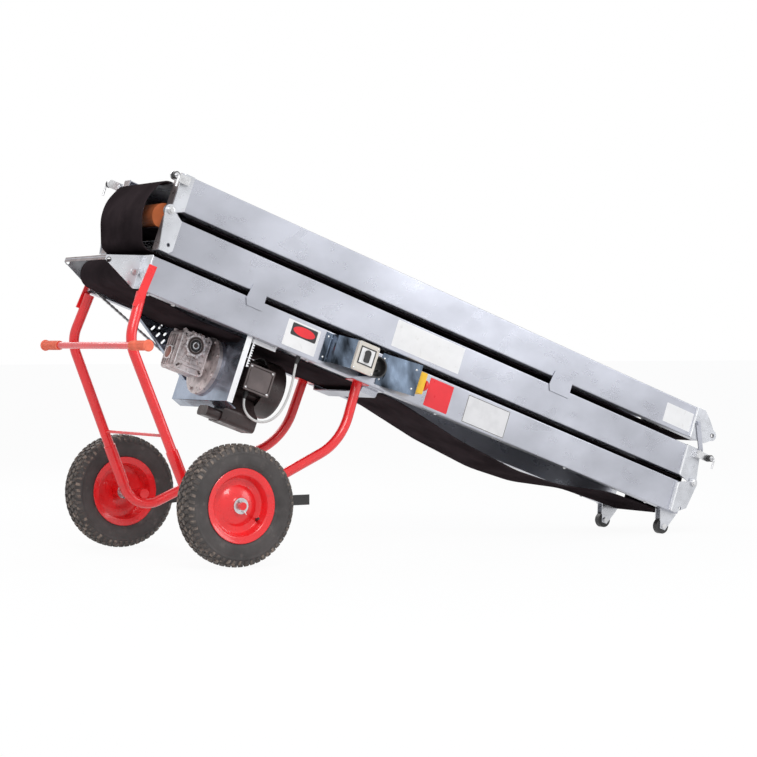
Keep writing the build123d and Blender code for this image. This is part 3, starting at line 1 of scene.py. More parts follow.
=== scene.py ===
import bpy
import bmesh
import json
from math import cos, pi, radians, sin
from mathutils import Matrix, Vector


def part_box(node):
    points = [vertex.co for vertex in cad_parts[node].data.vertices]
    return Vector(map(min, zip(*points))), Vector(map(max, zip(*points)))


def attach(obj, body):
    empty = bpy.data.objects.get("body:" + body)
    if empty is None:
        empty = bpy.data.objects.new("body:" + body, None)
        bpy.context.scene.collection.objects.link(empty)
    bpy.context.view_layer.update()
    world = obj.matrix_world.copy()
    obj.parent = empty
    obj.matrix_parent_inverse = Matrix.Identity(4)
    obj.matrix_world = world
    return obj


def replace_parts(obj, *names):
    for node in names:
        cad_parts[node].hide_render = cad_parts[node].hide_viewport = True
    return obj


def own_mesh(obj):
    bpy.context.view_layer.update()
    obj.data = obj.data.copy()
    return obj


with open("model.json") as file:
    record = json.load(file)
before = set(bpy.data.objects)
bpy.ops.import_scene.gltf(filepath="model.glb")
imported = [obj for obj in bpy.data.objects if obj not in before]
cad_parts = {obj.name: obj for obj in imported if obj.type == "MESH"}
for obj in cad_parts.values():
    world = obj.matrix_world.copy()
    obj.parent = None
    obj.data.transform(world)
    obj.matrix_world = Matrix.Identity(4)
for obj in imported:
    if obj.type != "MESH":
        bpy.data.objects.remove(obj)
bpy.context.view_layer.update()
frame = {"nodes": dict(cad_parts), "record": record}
NODES = frame["nodes"]
MIDDLE_X = 926.196
TILT = radians(20.0)
MM = 0.001
SIDES = (-1, 1)


def bed(s, y, h):
    """Bed coordinates in millimetres to the row frame in metres."""
    x = s * cos(TILT) + h * sin(TILT) - MIDDLE_X
    z = h * cos(TILT) - s * sin(TILT)
    return Vector((x * MM, y * MM, z * MM))


def mach(x, y, z):
    """Level machine coordinates in millimetres to the row frame in metres."""
    return Vector(((x - MIDDLE_X) * MM, y * MM, z * MM))


BED_S = Vector((cos(TILT), 0, -sin(TILT)))
BED_H = Vector((sin(TILT), 0, cos(TILT)))
NEAR = Vector((0, -1, 0))
X, Z = Vector((1, 0, 0)), Vector((0, 0, 1))


# Materials: limits of the noise that colour and polish follow, and how much finer dirt and polish are
COLOUR_LIMITS, POLISH_LIMITS = (0.35, 0.65), (0.3, 0.7)
DIRT_FINER, DIRT_DETAIL, DIRT_EDGE, DIRT_COVER = 2.3, 8.0, 0.14, 0.75
POLISH_FINER, COAT_ROUGH = 3.1, 0.08


def material(name, base, rough, metal=0.0, vary=0.12, scale=14.0, bump=0.15, grain=260.0, coat=0.0,
             rough_vary=0.12, dirt=None, dirt_level=0.58, stretch=(1, 1, 1), shine=0.5):
    """A surface whose colour and roughness vary a little, with dirt and fine grain on request."""
    made = bpy.data.materials.new(name)
    made.use_nodes = True
    nodes, link = made.node_tree.nodes, made.node_tree.links.new
    bsdf = nodes["Principled BSDF"]
    place = nodes.new("ShaderNodeTexCoord")
    mapping = nodes.new("ShaderNodeMapping")
    mapping.inputs["Scale"].default_value = stretch
    link(place.outputs["Object"], mapping.inputs["Vector"])

    def noise(size, detail=4.0):
        """Cloudy noise over the piece's own coordinates."""
        texture = nodes.new("ShaderNodeTexNoise")
        texture.inputs["Scale"].default_value = size
        texture.inputs["Detail"].default_value = detail
        link(mapping.outputs["Vector"], texture.inputs["Vector"])
        return texture.outputs["Fac"]

    def mix(share, first, second):
        """A blend of two colours, each a socket or a value."""
        mixer = nodes.new("ShaderNodeMix")
        mixer.data_type = "RGBA"
        for socket, value in ((mixer.inputs[0], share), (mixer.inputs[6], first), (mixer.inputs[7], second)):
            if hasattr(value, "links"):
                link(value, socket)
            else:
                socket.default_value = value
        return mixer.outputs[2]

    def ramp(source, *limits):
        """Map a source from the first two limits to the last two, which are 0 and 1 if not given."""
        spread = nodes.new("ShaderNodeMapRange")
        for i, value in enumerate(limits):
            spread.inputs[i + 1].default_value = value
        link(source, spread.inputs[0])
        return spread.outputs[0]

    def rgb(colour, gain=1.0):
        """A colour made lighter or darker, with full alpha."""
        return (*[min(1, part * gain) for part in colour], 1)

    colour = mix(ramp(noise(scale), *COLOUR_LIMITS), rgb(base, 1 - vary), rgb(base, 1 + vary))
    if dirt:
        spots = noise(scale * DIRT_FINER, DIRT_DETAIL)
        patches = ramp(spots, dirt_level, dirt_level + DIRT_EDGE, 0, DIRT_COVER)
        colour = mix(patches, colour, rgb(dirt))
    link(colour, bsdf.inputs["Base Color"])
    bsdf.inputs["Metallic"].default_value = metal
    bsdf.inputs["Specular IOR Level"].default_value = shine
    least, most = max(0.02, rough - rough_vary), min(1, rough + rough_vary)
    link(ramp(noise(scale * POLISH_FINER), *POLISH_LIMITS, least, most), bsdf.inputs["Roughness"])
    bsdf.inputs["Coat Weight"].default_value = coat
    bsdf.inputs["Coat Roughness"].default_value = COAT_ROUGH
    if bump:
        relief = nodes.new("ShaderNodeBump")
        relief.inputs["Strength"].default_value = bump
        relief.inputs["Distance"].default_value = 1 * MM
        link(noise(grain, 3.0), relief.inputs["Height"])
        link(relief.outputs["Normal"], bsdf.inputs["Normal"])
    return made


GALV = material("galvanised_sheet", (0.455, 0.465, 0.515), rough=0.31, metal=0.82, vary=0.13, scale=3.2,
                bump=0.0, rough_vary=0.08, stretch=(1, 1, 1.6))
GALV_PLATE = material("galvanised_plate", (0.58, 0.59, 0.62), rough=0.30, metal=0.75, vary=0.10, scale=9,
                      bump=0.0)
# Dark bluish copy of the galvanised sheet for the drive bulkhead and chain guard: painted shade, with painted
# reflections in its strong tone variation
GALV_PAINTED_SHADE = material("galvanised_painted_shade", (0.24, 0.275, 0.34), rough=0.20, metal=0.92, vary=0.55,
                     scale=4.5, bump=0.0)
# Darker copy of the galvanised sheet for the control shields, with strong stretched streaks: painted
# reflection and shade
GALV_PAINTED_REFLECTION = material("galvanised_painted_reflection", (0.125, 0.16, 0.215), rough=0.13, metal=0.95, vary=0.92, scale=9,
                  bump=0.0, stretch=(1.6, 1, 0.6))
# Near-white copy of the galvanised sheet: painted highlight on edges
GALV_PAINTED_HIGHLIGHT = material("galvanised_painted_highlight", (0.86, 0.86, 0.87), rough=0.38, metal=0.35, vary=0.06,
                       scale=20, bump=0.05)
# Dark brownish sheet: on the end flanges this is painted shade and reflection of the belt; the feed lip fold
# takes the same colour
LIP = material("shaded_flange", (0.24, 0.20, 0.20), rough=0.34, metal=0.60, vary=0.30, scale=16, bump=0.0)
ZINC = material("bright_zinc", (0.62, 0.62, 0.63), rough=0.26, metal=0.90, scale=40, bump=0.05)
RED = material("red_enamel", (0.84, 0.014, 0.018), rough=0.30, vary=0.07, scale=10, bump=0.04, grain=90,
               coat=0.5, dirt=(0.45, 0.02, 0.02), dirt_level=0.64)
SALMON = material("grip_vinyl", (0.86, 0.17, 0.09), rough=0.55, vary=0.10, scale=30, bump=0.2)
TYRE = material("tyre_rubber", (0.055, 0.048, 0.046), rough=0.62, vary=0.25, scale=12, bump=0.3, grain=500,
                dirt=(0.13, 0.11, 0.10), dirt_level=0.60)
TREAD = material("tyre_tread", (0.075, 0.062, 0.055), rough=0.66, vary=0.25, scale=24, bump=0.4, grain=700,
                 dirt=(0.30, 0.235, 0.19), dirt_level=0.50)
BELT = material("belt_rubber", (0.032, 0.024, 0.026), rough=0.80, vary=0.25, scale=8, bump=0.5, grain=420,
                dirt=(0.046, 0.034, 0.036), dirt_level=0.60, shine=0.0)
ORANGE = material("roller_end", (0.56, 0.15, 0.05), rough=0.40, vary=0.10, scale=20, bump=0.1)
CAST = material("cast_alloy", (0.62, 0.56, 0.555), rough=0.44, metal=0.60, vary=0.22, scale=34, bump=0.6,
                grain=320, dirt=(0.17, 0.125, 0.115), dirt_level=0.56)
CAST_EDGE = material("cast_alloy_machined", (0.80, 0.76, 0.76), rough=0.32, metal=0.55, vary=0.10,
                     scale=60, bump=0.2)
# Very dark cast alloy: painted shade in the bore, round it and in the lug holes
CAST_SHADE = material("cast_alloy_painted_shade", (0.10, 0.075, 0.07), rough=0.6, metal=0.1, vary=0.25,
                      scale=50, bump=0.4)
MOTOR = material("motor_enamel", (0.043, 0.029, 0.028), rough=0.36, metal=0.1, vary=0.25, bump=0.18,
                 dirt=(0.10, 0.065, 0.06), dirt_level=0.62)
MOTOR_LID = material("motor_lid_enamel", (0.135, 0.108, 0.105), rough=0.42, metal=0.1, vary=0.16,
                     scale=22, bump=0.16)
BROWN = material("brown_cap", (0.30, 0.13, 0.10), rough=0.45, metal=0.3, vary=0.15, scale=26, bump=0.2)
BLACK = material("black_plastic", (0.025, 0.024, 0.024), rough=0.45, vary=0.2, scale=30)
BLACK_PAINT = material("black_paint", (0.022, 0.020, 0.020), rough=0.35, vary=0.2, scale=20, bump=0.1)
CABLE_MAT = material("cable_sheath", (0.64, 0.64, 0.62), rough=0.50, vary=0.06, scale=30, bump=0.1)
BEIGE = material("beige_plastic", (0.66, 0.61, 0.54), rough=0.42, vary=0.08, scale=30, bump=0.12)
WHITE_PLASTIC = material("white_plastic", (0.80, 0.79, 0.78), rough=0.40, vary=0.04, scale=30, bump=0.08)
YELLOW = material("yellow_plastic", (0.86, 0.50, 0.02), rough=0.40, vary=0.07, scale=30, bump=0.12)
RED_PLASTIC = material("red_plastic", (0.72, 0.03, 0.02), rough=0.35, vary=0.08, scale=30, bump=0.08)
LABEL = material("white_label", (0.82, 0.81, 0.80), rough=0.42, vary=0.03, scale=20, bump=0.03,
                 dirt=(0.66, 0.64, 0.62), dirt_level=0.63)
LABEL_RED = material("red_label", (0.80, 0.02, 0.03), rough=0.38, vary=0.05, scale=20, bump=0.03)
LABEL_GREY = material("pale_label", (0.70, 0.69, 0.69), rough=0.45, vary=0.05, scale=26, bump=0.03)

SLOT_MATERIAL = {
    "galvanised": GALV, "bright_zinc": ZINC, "red_paint": RED, "black_paint": BLACK_PAINT,
    "salmon_grip": SALMON, "tyre_rubber": TYRE, "belt_rubber": BELT, "orange_plastic": ORANGE,
    "cast_alloy": CAST, "motor_paint": MOTOR, "black_plastic": BLACK, "cable_grey": CABLE_MAT,
    "beige_plastic": BEIGE, "yellow_plastic": YELLOW, "red_plastic": RED_PLASTIC}
NODE_MATERIAL = {
    "drive_bulkhead": GALV_PAINTED_SHADE, "chain_guard": GALV_PAINTED_SHADE, "control_shields": GALV_PAINTED_REFLECTION, "stub_axles": RED,
    "bottom_right_plates": GALV_PLATE, "mid_plates": GALV_PLATE, "top_plates": GALV_PLATE,
    "feed_ears": GALV_PLATE, "caster_forks": GALV_PLATE}
for row in frame["record"]["subparts"]:
    node = NODES[row["node"]]
    node.data.materials.clear()
    node.data.materials.append(NODE_MATERIAL.get(row["node"], SLOT_MATERIAL[row["material_slot"]]))


# Mesh helpers
def piece(name, bm, mat, body, smooth=True, angle=35):
    """Turn a mesh under way into a piece that rides on a body."""
    bmesh.ops.remove_doubles(bm, verts=bm.verts, dist=1e-7)
    bmesh.ops.recalc_face_normals(bm, faces=bm.faces)
    mesh = bpy.data.meshes.new(name)
    bm.to_mesh(mesh)
    bm.free()
    obj = bpy.data.objects.new(name, mesh)
    bpy.context.scene.collection.objects.link(obj)
    mesh.materials.append(mat)
    if smooth:
        for poly in mesh.polygons:
            poly.use_smooth = True
        mesh.set_sharp_from_angle(angle=radians(angle))
    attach(obj, body)
    return obj


def basis(axis):
    """Two directions square to an axis."""
    a = axis.normalized()
    side = Z if abs(a.dot(Z)) < 0.9 else X
    u = a.cross(side).normalized()
    return u, a.cross(u).normalized()


def turns(count, start=0.0):
    """Angles evenly round a full turn."""
    return [start + 2 * pi * i / count for i in range(count)]


def circle(centre, u, v, radius, count, start=0.0):
    """Points round a centre, at a radius in millimetres."""
    return [centre + (u * cos(t) + v * sin(t)) * (radius * MM) for t in turns(count, start)]


def ring_loft(bm, rings, caps=True, closed=False):
    """Faces between rings of points, all of the same length."""
    made = [[bm.verts.new(p) for p in ring] for ring in rings]
    count = len(made[0])
    last = len(made) if closed else len(made) - 1
    for i in range(last):
        a, b = made[i], made[(i + 1) % len(made)]
        for j in range(count):
            k = (j + 1) % count
            bm.faces.new((a[j], a[k], b[k], b[j]))
    if caps and not closed:
        bm.faces.new(made[0][::-1])
        bm.faces.new(made[-1])


def lathe(bm, origin, axis, profile, count=48, closed=False):
    """Turn (distance along the axis, radius) points, in millimetres."""
    u, v = basis(axis)
    a = axis.normalized()
    ring_loft(bm, [circle(origin + a * (d * MM), u, v, r, count) for d, r in profile], closed=closed)


def prism(bm, face, move):
    """A flat outline pushed along move."""
    ring_loft(bm, [face, [p + move for p in face]])


def block(bm, centre, u, v, w, lu, lv, lw, bevel=0.0):
    """A box with sides lu, lv and lw millimetres along u, v and w, its u-v corners cut by bevel."""
    a, b, c = lu / 2, lv / 2, lw / 2
    if bevel:
        e, f = a - bevel, b - bevel
        outline = [(-e, -b), (e, -b), (a, -f), (a, f), (e, b), (-e, b), (-a, f), (-a, -f)]
    else:
        outline = [(-a, -b), (a, -b), (a, b), (-a, b)]
    face = [centre + (u * p + v * q - w * c) * MM for p, q in outline]
    prism(bm, face, w * (lw * MM))


def bed_block(bm, s, y, h, length, height, depth, bevel=0.0):
    """A block square to the bed, its depth along y."""
    block(bm, bed(s, y, h), BED_S, BED_H, NEAR, length, height, depth, bevel)


WASHER_T, WASHER_EDGE, WASHER_CHAMFER = 1.4, 0.2, 0.3
HEX_TURN = 0.3
HEX_SHARES = ((0, 1), (0.8, 1), (1, 0.84))


def hex_head(bm, at, axis, radius, height, washer=0.0):
    """A hex head with a chamfered top, standing on a surface, on a washer if its radius is given."""
    u, v = basis(axis)
    a = axis.normalized()
    base = 0.0
    if washer:
        edge = [(0, washer), (WASHER_T - WASHER_EDGE, washer), (WASHER_T, washer - WASHER_CHAMFER)]
        lathe(bm, at, axis, edge, 20)
        base = WASHER_T
    ring_loft(bm, [circle(at + a * ((base + height * up) * MM), u, v, radius * out, 6, HEX_TURN)
                   for up, out in HEX_SHARES])


DOME_SHARES = ((0, 1), (0.35, 0.95), (0.7, 0.7), (1, 0.25))


def dome(bm, at, axis, radius, height):
    """A rounded screw or rivet head."""
    lathe(bm, at, axis, [(height * up, radius * out) for up, out in DOME_SHARES], 16)


# Belt stretches round the folds, copied onto their bodies; each row also gives the fold's joint, a level and
# a share of its height
FOLDS = (
    ("belt_right_fold", "chassis", "mid_fold", (1850, 0, 748), 0.17),
    ("belt_left_fold", "mid_section", "top_fold", (-505, 0, 890), 0.12))
for node, body, joint, level, keep in FOLDS:
    bm = bmesh.new()
    bm.from_mesh(NODES[node].data)
    bm.transform(NODES[node].matrix_world)
    stretch = piece(node + "_soft", bm, BELT, body)
    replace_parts(stretch, node)
    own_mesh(stretch)

# Cable from the terminal box up to the bed, along the route of the solid
CABLE_D = 8.5
CABLE_EXIT = (18, -95, 570)
CABLE_POINTS = [
    CABLE_EXIT, (20, -97, 549), (29, -103, 529), (46, -111, 513), (70, -121, 505), (98, -130, 510),
    (122, -139, 530), (137, -148, 562), (141, -157, 600), (138, -166, 640), (130, -175, 679),
    (121, -183, 706), (117, -187, 726)]
curve = bpy.data.curves.new("motor_cable_line", "CURVE")
curve.dimensions = "3D"
spline = curve.splines.new("NURBS")
spline.points.add(len(CABLE_POINTS) - 1)
for point, at in zip(spline.points, CABLE_POINTS):
    point.co = (*bed(*at), 1.0)
spline.order_u = 3
spline.use_endpoint_u = True
spline.resolution_u = 10
curve.bevel_depth = CABLE_D / 2 * MM
curve.bevel_resolution = 6
curve.use_fill_caps = True
curve.materials.append(CABLE_MAT)
cable = bpy.data.objects.new("motor_cable_line", curve)
bpy.context.scene.collection.objects.link(cable)
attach(cable, "chassis")
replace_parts(cable, "motor_cable")

GLAND_HEX = ((0, 7.9), (0.6, 8.0), (7.4, 8.0), (8, 7.6))
GLAND_NUT = ((8.2, 7.4), (15, 7.4), (18, 6.4), (22, 5.2), (25.6, 4.9))
FLUTE_END, FLUTE_DEEP = 16, 0.4


def gland(name, at):
    """A cable gland that points down: hexagon, clamping nut with flutes, and a tapered rubber end."""
    bm = bmesh.new()
    axis = -BED_H
    u, v = basis(axis)
    ring_loft(bm, [circle(at + axis * (d * MM), u, v, r, 6) for d, r in GLAND_HEX])
    rings = []
    for d, r in GLAND_NUT:
        ring = []
        for i, t in enumerate(turns(24)):
            cut = FLUTE_DEEP if i % 2 and d < FLUTE_END else 0
            ring.append(at + axis * (d * MM) + (u * cos(t) + v * sin(t)) * ((r - cut) * MM))
        rings.append(ring)
    ring_loft(bm, rings)
    return piece(name, bm, BLACK, "chassis", angle=30)


glands = [gland("cable_gland_low", bed(18, -95, 592)), gland("cable_gland_high", bed(117, -187, 751))]
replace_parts(glands[0], "motor_cable_glands")

# Wheels, with profiles as (distance from the middle, radius)
AXLE_Z, WHEEL_Y = 197.0, 417.0
CROWN_R, OUTER_R, SHOULDER_R = 192.0, 196.8, 177.0
CROWN_FALL, CROWN_SPAN = 2.0, 25.0
SHOULDER_START, SHOULDER_SPAN, SHOULDER_FALL = 30, 20.0, 9.0
SHOULDER_W = 44
CROWN_WIDTHS = (SHOULDER_W, 38, 30, 20, 10, 0)
WHEEL_COUNT = 96
SIDEWALL = [
    (37.5, 102.2), (38.5, 110), (39.6, 121.6), (42.5, 125), (45.5, 131), (46.3, 133), (47.0, 133),
    (47.8, 136), (49.4, 144), (50.0, 152), (49.9, 160), (49.4, 166), (49.9, 167), (49.9, 169.5),
    (48.9, 171.5), (47.5, 177)]
RIM_OUTSIDE = [
    (43.0, 118.6), (42.6, 116.2), (40.6, 112.5), (39.2, 104), (38.2, 99.0), (35.0, 96.4), (14.5, 88.6),
    (11.5, 87.2), (10.3, 85.2), (10.0, 82.5), (10.2, 69), (11.0, 66.0), (13.4, 62.8), (19.5, 52),
    (23.5, 42.5), (25.8, 35), (27.5, 30.0), (29.5, 27.0), (32.0, 25.2), (33.0, 24.0), (33.0, 12.7)]
RIM_INSIDE = [
    (-33.0, 12.7), (-33.0, 24.0), (17, 24.5), (6, 62), (6, 90), (-39, 97.5), (-42.6, 116.2), (-43, 119)]
RIM_WELL = [
    (-42, 120), (-40, 119.6), (-38.8, 112), (-38.2, 102.0), (38.2, 102.0), (38.8, 112), (40, 119.6),
    (42, 120)]
TREAD_N = 54
TREAD_STEP = 360.0 / TREAD_N
TREAD_FOOT, TREAD_SHRINK = -2.0, (1.06, 0.93, 0.80)
TREAD_INNER = [(1.5, -1.0), (8, -2.7), (17, -2.0), (20, 0.6), (13, 2.5), (4, 1.9)]
TREAD_MIDDLE = [(21, -1.9), (27, -2.6), (36, -1.6), (37, 1.5), (30, 2.5), (23, 1.7)]
TREAD_OUTER = [(38.5, -1.7), (49.5, -2.1), (49.8, 0.9), (39.5, 1.5)]
TREAD_ROWS = ((TREAD_INNER, 0, 4.9), (TREAD_MIDDLE, 0.5, 5.0), (TREAD_OUTER, 0, 4.6))
VALVE_R, VALVE_OUT, VALVE_LEAN = 84, 12, 0.35
VALVE_TURN = 0.6
VALVE = [(-4, 5), (4, 4.6), (14, 3.4), (20, 3.2), (20.4, 4.0), (29, 4.0), (30, 3.2)]
AXLE_END, PIN_OUT = 37.3, 6
PIN_SLANT, PIN_BEND = 0.35, 0.35
PIN_HEAD_AT, PIN_TAIL_AT = 15, 16
PIN_LEG = [(0, 1.3), (0.5, 1.6), (34, 1.6), (34.6, 1.2)]
PIN_TAIL = [(0, 1.0), (0.5, 1.3), (16, 1.3), (16.5, 0.9)]
PIN_EYE = [(-2.2, 2.8), (-2.2, 4.4), (2.2, 4.4), (2.2, 2.8)]


def crown(w):
    """Radius of the tyre's casing at a distance from its middle."""
    w = abs(w)
    past = max(0, w - SHOULDER_START) / SHOULDER_SPAN
    return CROWN_R - CROWN_FALL * (w / CROWN_SPAN) ** 2 - past ** 2 * SHOULDER_FALL


def tread_block(bm, centre, out, outline, turn, high):
    """A tapered block: outline in (distance from the middle, degrees), risen by high."""
    mid_w = sum(p[0] for p in outline) / len(outline)
    mid_a = sum(p[1] for p in outline) / len(outline)
    rings = []
    for lift, shrink in zip((TREAD_FOOT, high * 0.8, high), TREAD_SHRINK):
        ring = []
        for w, a in outline:
            across = mid_w + (w - mid_w) * shrink
            t = radians(mid_a + (a - mid_a) * shrink + turn)
            r = crown(across) + lift
            if abs(across) > SHOULDER_W:
                r = min(r, SHOULDER_R + lift)
            ring.append(centre + out * (across * MM) + (X * sin(t) + Z * cos(t)) * (min(r, OUTER_R) * MM))
        rings.append(ring)
    ring_loft(bm, rings)


def wheel(side, sign):
    """Tyre, tread, rim, valve and split pin of one wheel."""
    centre = mach(0, sign * WHEEL_Y, AXLE_Z)
    out = Vector((0, sign, 0))
    body = "wheel_" + side
    bm = bmesh.new()
    half = SIDEWALL + [(w, crown(w)) for w in CROWN_WIDTHS]
    lathe(bm, centre, out, half + [(-w, r) for w, r in half[-2::-1]], WHEEL_COUNT, closed=True)
    tyre = piece("tyre_casing_" + side, bm, TYRE, body, angle=50)
    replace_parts(tyre, "tyre_" + side)

    bm = bmesh.new()
    for i in range(TREAD_N):
        for s in SIDES:
            turn = i * TREAD_STEP + (TREAD_STEP / 2 if s > 0 else 0)
            for outline, share, high in TREAD_ROWS:
                row_outline = [(s * w, a) for w, a in outline]
                tread_block(bm, centre, out, row_outline, turn + share * TREAD_STEP, high)
    piece("tyre_tread_" + side, bm, TREAD, body, angle=30)

    bm = bmesh.new()
    lathe(bm, centre, out, RIM_OUTSIDE + RIM_INSIDE + RIM_WELL, WHEEL_COUNT, closed=True)
    shell = piece("rim_shell_" + side, bm, RED, body, angle=40)
    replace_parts(shell, "rim_" + side)

    bm = bmesh.new()
    spoke = X * cos(VALVE_TURN) - Z * sin(VALVE_TURN)
    lathe(bm, centre + out * (VALVE_OUT * MM) + spoke * (VALVE_R * MM), out - spoke * VALVE_LEAN, VALVE, 14)
    piece("tyre_valve_" + side, bm, BLACK, body)

    bm = bmesh.new()
    pin = (X * PIN_SLANT - Z).normalized()
    middle = centre + out * (AXLE_END * MM) + out * (PIN_OUT * MM)
    head = middle - pin * (PIN_HEAD_AT * MM)
    bent = (pin + out.cross(pin).normalized() * PIN_BEND).normalized()
    lathe(bm, head, pin, PIN_LEG, 8)
    lathe(bm, middle + pin * (PIN_TAIL_AT * MM), bent, PIN_TAIL, 8)
    lathe(bm, head - pin * (1 * MM), out, PIN_EYE, 12, closed=True)
    piece("split_pin_" + side, bm, ZINC, "chassis")


wheel("near", -1)
wheel("far", 1)

# Handlebar grips with chevron ribs, with profiles as (distance from an end, radius)
GRIP_END, GRIP_LEN = 390.0, 118.0
GRIP_COUNT = 48
GRIP_COLLAR = ((0, 12.2), (0, 14.6), (1, 15.6), (4, 15.9), (6, 14.3))
GRIP_CAP = (
    (-7, 14.3), (-6, 17.5), (-5, 18.6), (-2, 18.9), (-0.6, 18.0), (0, 15.5), (0, 11), (-0.8, 9.5),
    (-0.8, 0.6))
RIB_START, RIB_RINGS, RIB_PITCH = 6.5, 104, 8.0
RIB_FOOT_R, RIB_HIGH = 13.9, 2.0
ZIGZAGS, ZIG_DEEP = 6, 5.0


def grip(name, sign):
    """A ribbed grip between its collar and its cap."""
    low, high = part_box("grips")
    centre = Vector(((low[0] + high[0]) / 2, sign * (GRIP_END - GRIP_LEN) * MM, (low[2] + high[2]) / 2))
    out = Vector((0, sign, 0))
    u, v = basis(out)
    rings = [circle(centre + out * (d * MM), u, v, r, GRIP_COUNT) for d, r in GRIP_COLLAR]
    for k in range(RIB_RINGS):
        d = RIB_START + k
        ring = []
        for t in turns(GRIP_COUNT):
            zig = abs(((t / (2 * pi) * ZIGZAGS) % 1) - 0.5) * 2 * ZIG_DEEP
            phase = ((d + zig) % RIB_PITCH) / RIB_PITCH
            r = RIB_FOOT_R + (RIB_HIGH if 0.25 < phase < 0.75 else 0.0)
            ring.append(centre + out * (d * MM) + (u * cos(t) + v * sin(t)) * (r * MM))
        rings.append(ring)
    rings += [circle(centre + out * ((GRIP_LEN + d) * MM), u, v, r, GRIP_COUNT) for d, r in GRIP_CAP]
    bm = bmesh.new()
    ring_loft(bm, rings)
    return piece(name, bm, SALMON, "chassis", angle=30)


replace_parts(grip("grip_near", -1), "grips")
grip("grip_far", 1)

# Blank labels, with their limits along and across the bed
SIDE_Y = -210.0
LABEL_T, LABEL_CORNER, CORNER_STEPS = 0.3, 3.0, 4
LABELS = [
    ("label_small", 28, 160, 766, 856, LABEL, "chassis", "galvanised"),
    ("label_mid", 437, 733, 908, 1003, LABEL, "mid_section", "galvanised"),
    ("label_red", 631, 734, 760, 860, LABEL_RED, "chassis", "red_plastic"),
    ("label_pale", 802, 993, 758, 858, LABEL_GREY, "chassis", "galvanised"),
    ("label_end", 1662, 1799, 1056, 1128, LABEL, "top_section", "galvanised")]
for name, s0, s1, h0, h1, mat, body, slot in LABELS:
    bm = bmesh.new()
    left, right = s0 + LABEL_CORNER, s1 - LABEL_CORNER
    low, high = h0 + LABEL_CORNER, h1 - LABEL_CORNER
    outline = []
    for s, h, start in ((left, low, pi), (right, low, 1.5 * pi), (right, high, 0), (left, high, pi / 2)):
        for i in range(CORNER_STEPS + 1):
            t = start + i * pi / 2 / CORNER_STEPS
            outline.append(bed(s + LABEL_CORNER * cos(t), SIDE_Y, h + LABEL_CORNER * sin(t)))
    prism(bm, outline, NEAR * (LABEL_T * MM))
    piece(name, bm, mat, body, smooth=False)

# Field and oval of the small label, and the border of the pale one as (s, h, length, height)
SIGN_S, SIGN_H = 99, 829
FIELD_L, FIELD_H = 102, 42
OVAL_S, OVAL_H = 44, 16
PALE_BORDER = ((897, 856, 183, 2), (897, 760, 183, 2), (804, 808, 2, 98), (991, 808, 2, 98))
bm = bmesh.new()
bed_block(bm, SIGN_S, SIDE_Y - 0.5, SIGN_H, FIELD_L, FIELD_H, LABEL_T, LABEL_CORNER)
piece("label_small_field", bm, BLACK, "chassis", smooth=False)
bm = bmesh.new()
oval = [bed(SIGN_S + OVAL_S * cos(t), SIDE_Y - 0.7, SIGN_H + OVAL_H * sin(t)) for t in turns(32)]
prism(bm, oval, NEAR * (LABEL_T * MM))
piece("label_small_oval", bm, LABEL_RED, "chassis", smooth=False)
bm = bmesh.new()
for s, h, length, height in PALE_BORDER:
    bed_block(bm, s, SIDE_Y - 0.4, h, length, height, 0.2)
piece("label_pale_border", bm, BLACK, "chassis", smooth=False)

# Gearbox trim, round the output bore on the housing's near face and on its left face
OUTPUT = (-180.0, 682.0)
BOX_FACE, RING_FACE, EDGE_FACE = -22.0, -30.0, -22.6
BOX_LEFT, BOX_RIGHT = -236, -124
LOBE_CIRCLE, LOBE_BOLT_Y = 38, -31.4
LOBES = turns(8, pi / 8)
LOBE = [(0, 8.0), (8.6, 8.0), (9.4, 7.0)]
RIB_IN, RIB_LEAST, RIB_SIDE, RIB_LOW = 36, 44, 50, 66
RIB_W, RIB_T = 3.4, 6
FIN_N, FIN_FIRST_Y, FIN_PITCH = 5, -12, 16
FIN_S, FIN_H = -240, 650
FIN_T, FIN_L, FIN_DEEP = 3.6, 104, 8
EDGE_W, EDGE_T = 3, 2
EDGE_MIDDLE_H, EDGE_HIGH, EDGE_LONG = 654, 104, 92
EDGE_LEVELS = (589.5, 718.5)
WORM_S, WORM_Y, WORM_H = -244, 20, 638
WORM_RING = [(0, 24.5), (2.5, 24.5), (3.4, 23.6), (3.4, 20.6), (0, 20)]
WORM_CAP = [(0, 20), (3.0, 20), (4.4, 18), (4.6, 2)]
WORM_BOLT_CIRCLE = 27
SEAL_RING = [(0, 31), (0.9, 31.3), (0.9, 36.6), (0, 37)]
SEAL_SHADE = [(0, 22), (0.5, 22), (0.5, 29.5), (0, 29.5)]
BOLT_HIGH = 2.6
TOP_LUGS = [-226 + 30 * i for i in range(4)]
NEAR_LUG_Y, FAR_LUG_Y, LUG_TOP = -14, 54, 718
LUG_HIGH = 8
LUG = [(0, 8.5), (LUG_HIGH - 1, 8.5), (LUG_HIGH, 7.5)]
LUG_HOLE = [(0, 4.5), (0.5, 4.5)]


def around(radius, turn, y):
    """A point of the near face at a radius and angle from the output bore."""
    return bed(OUTPUT[0] + radius * cos(turn), y, OUTPUT[1] + radius * sin(turn))


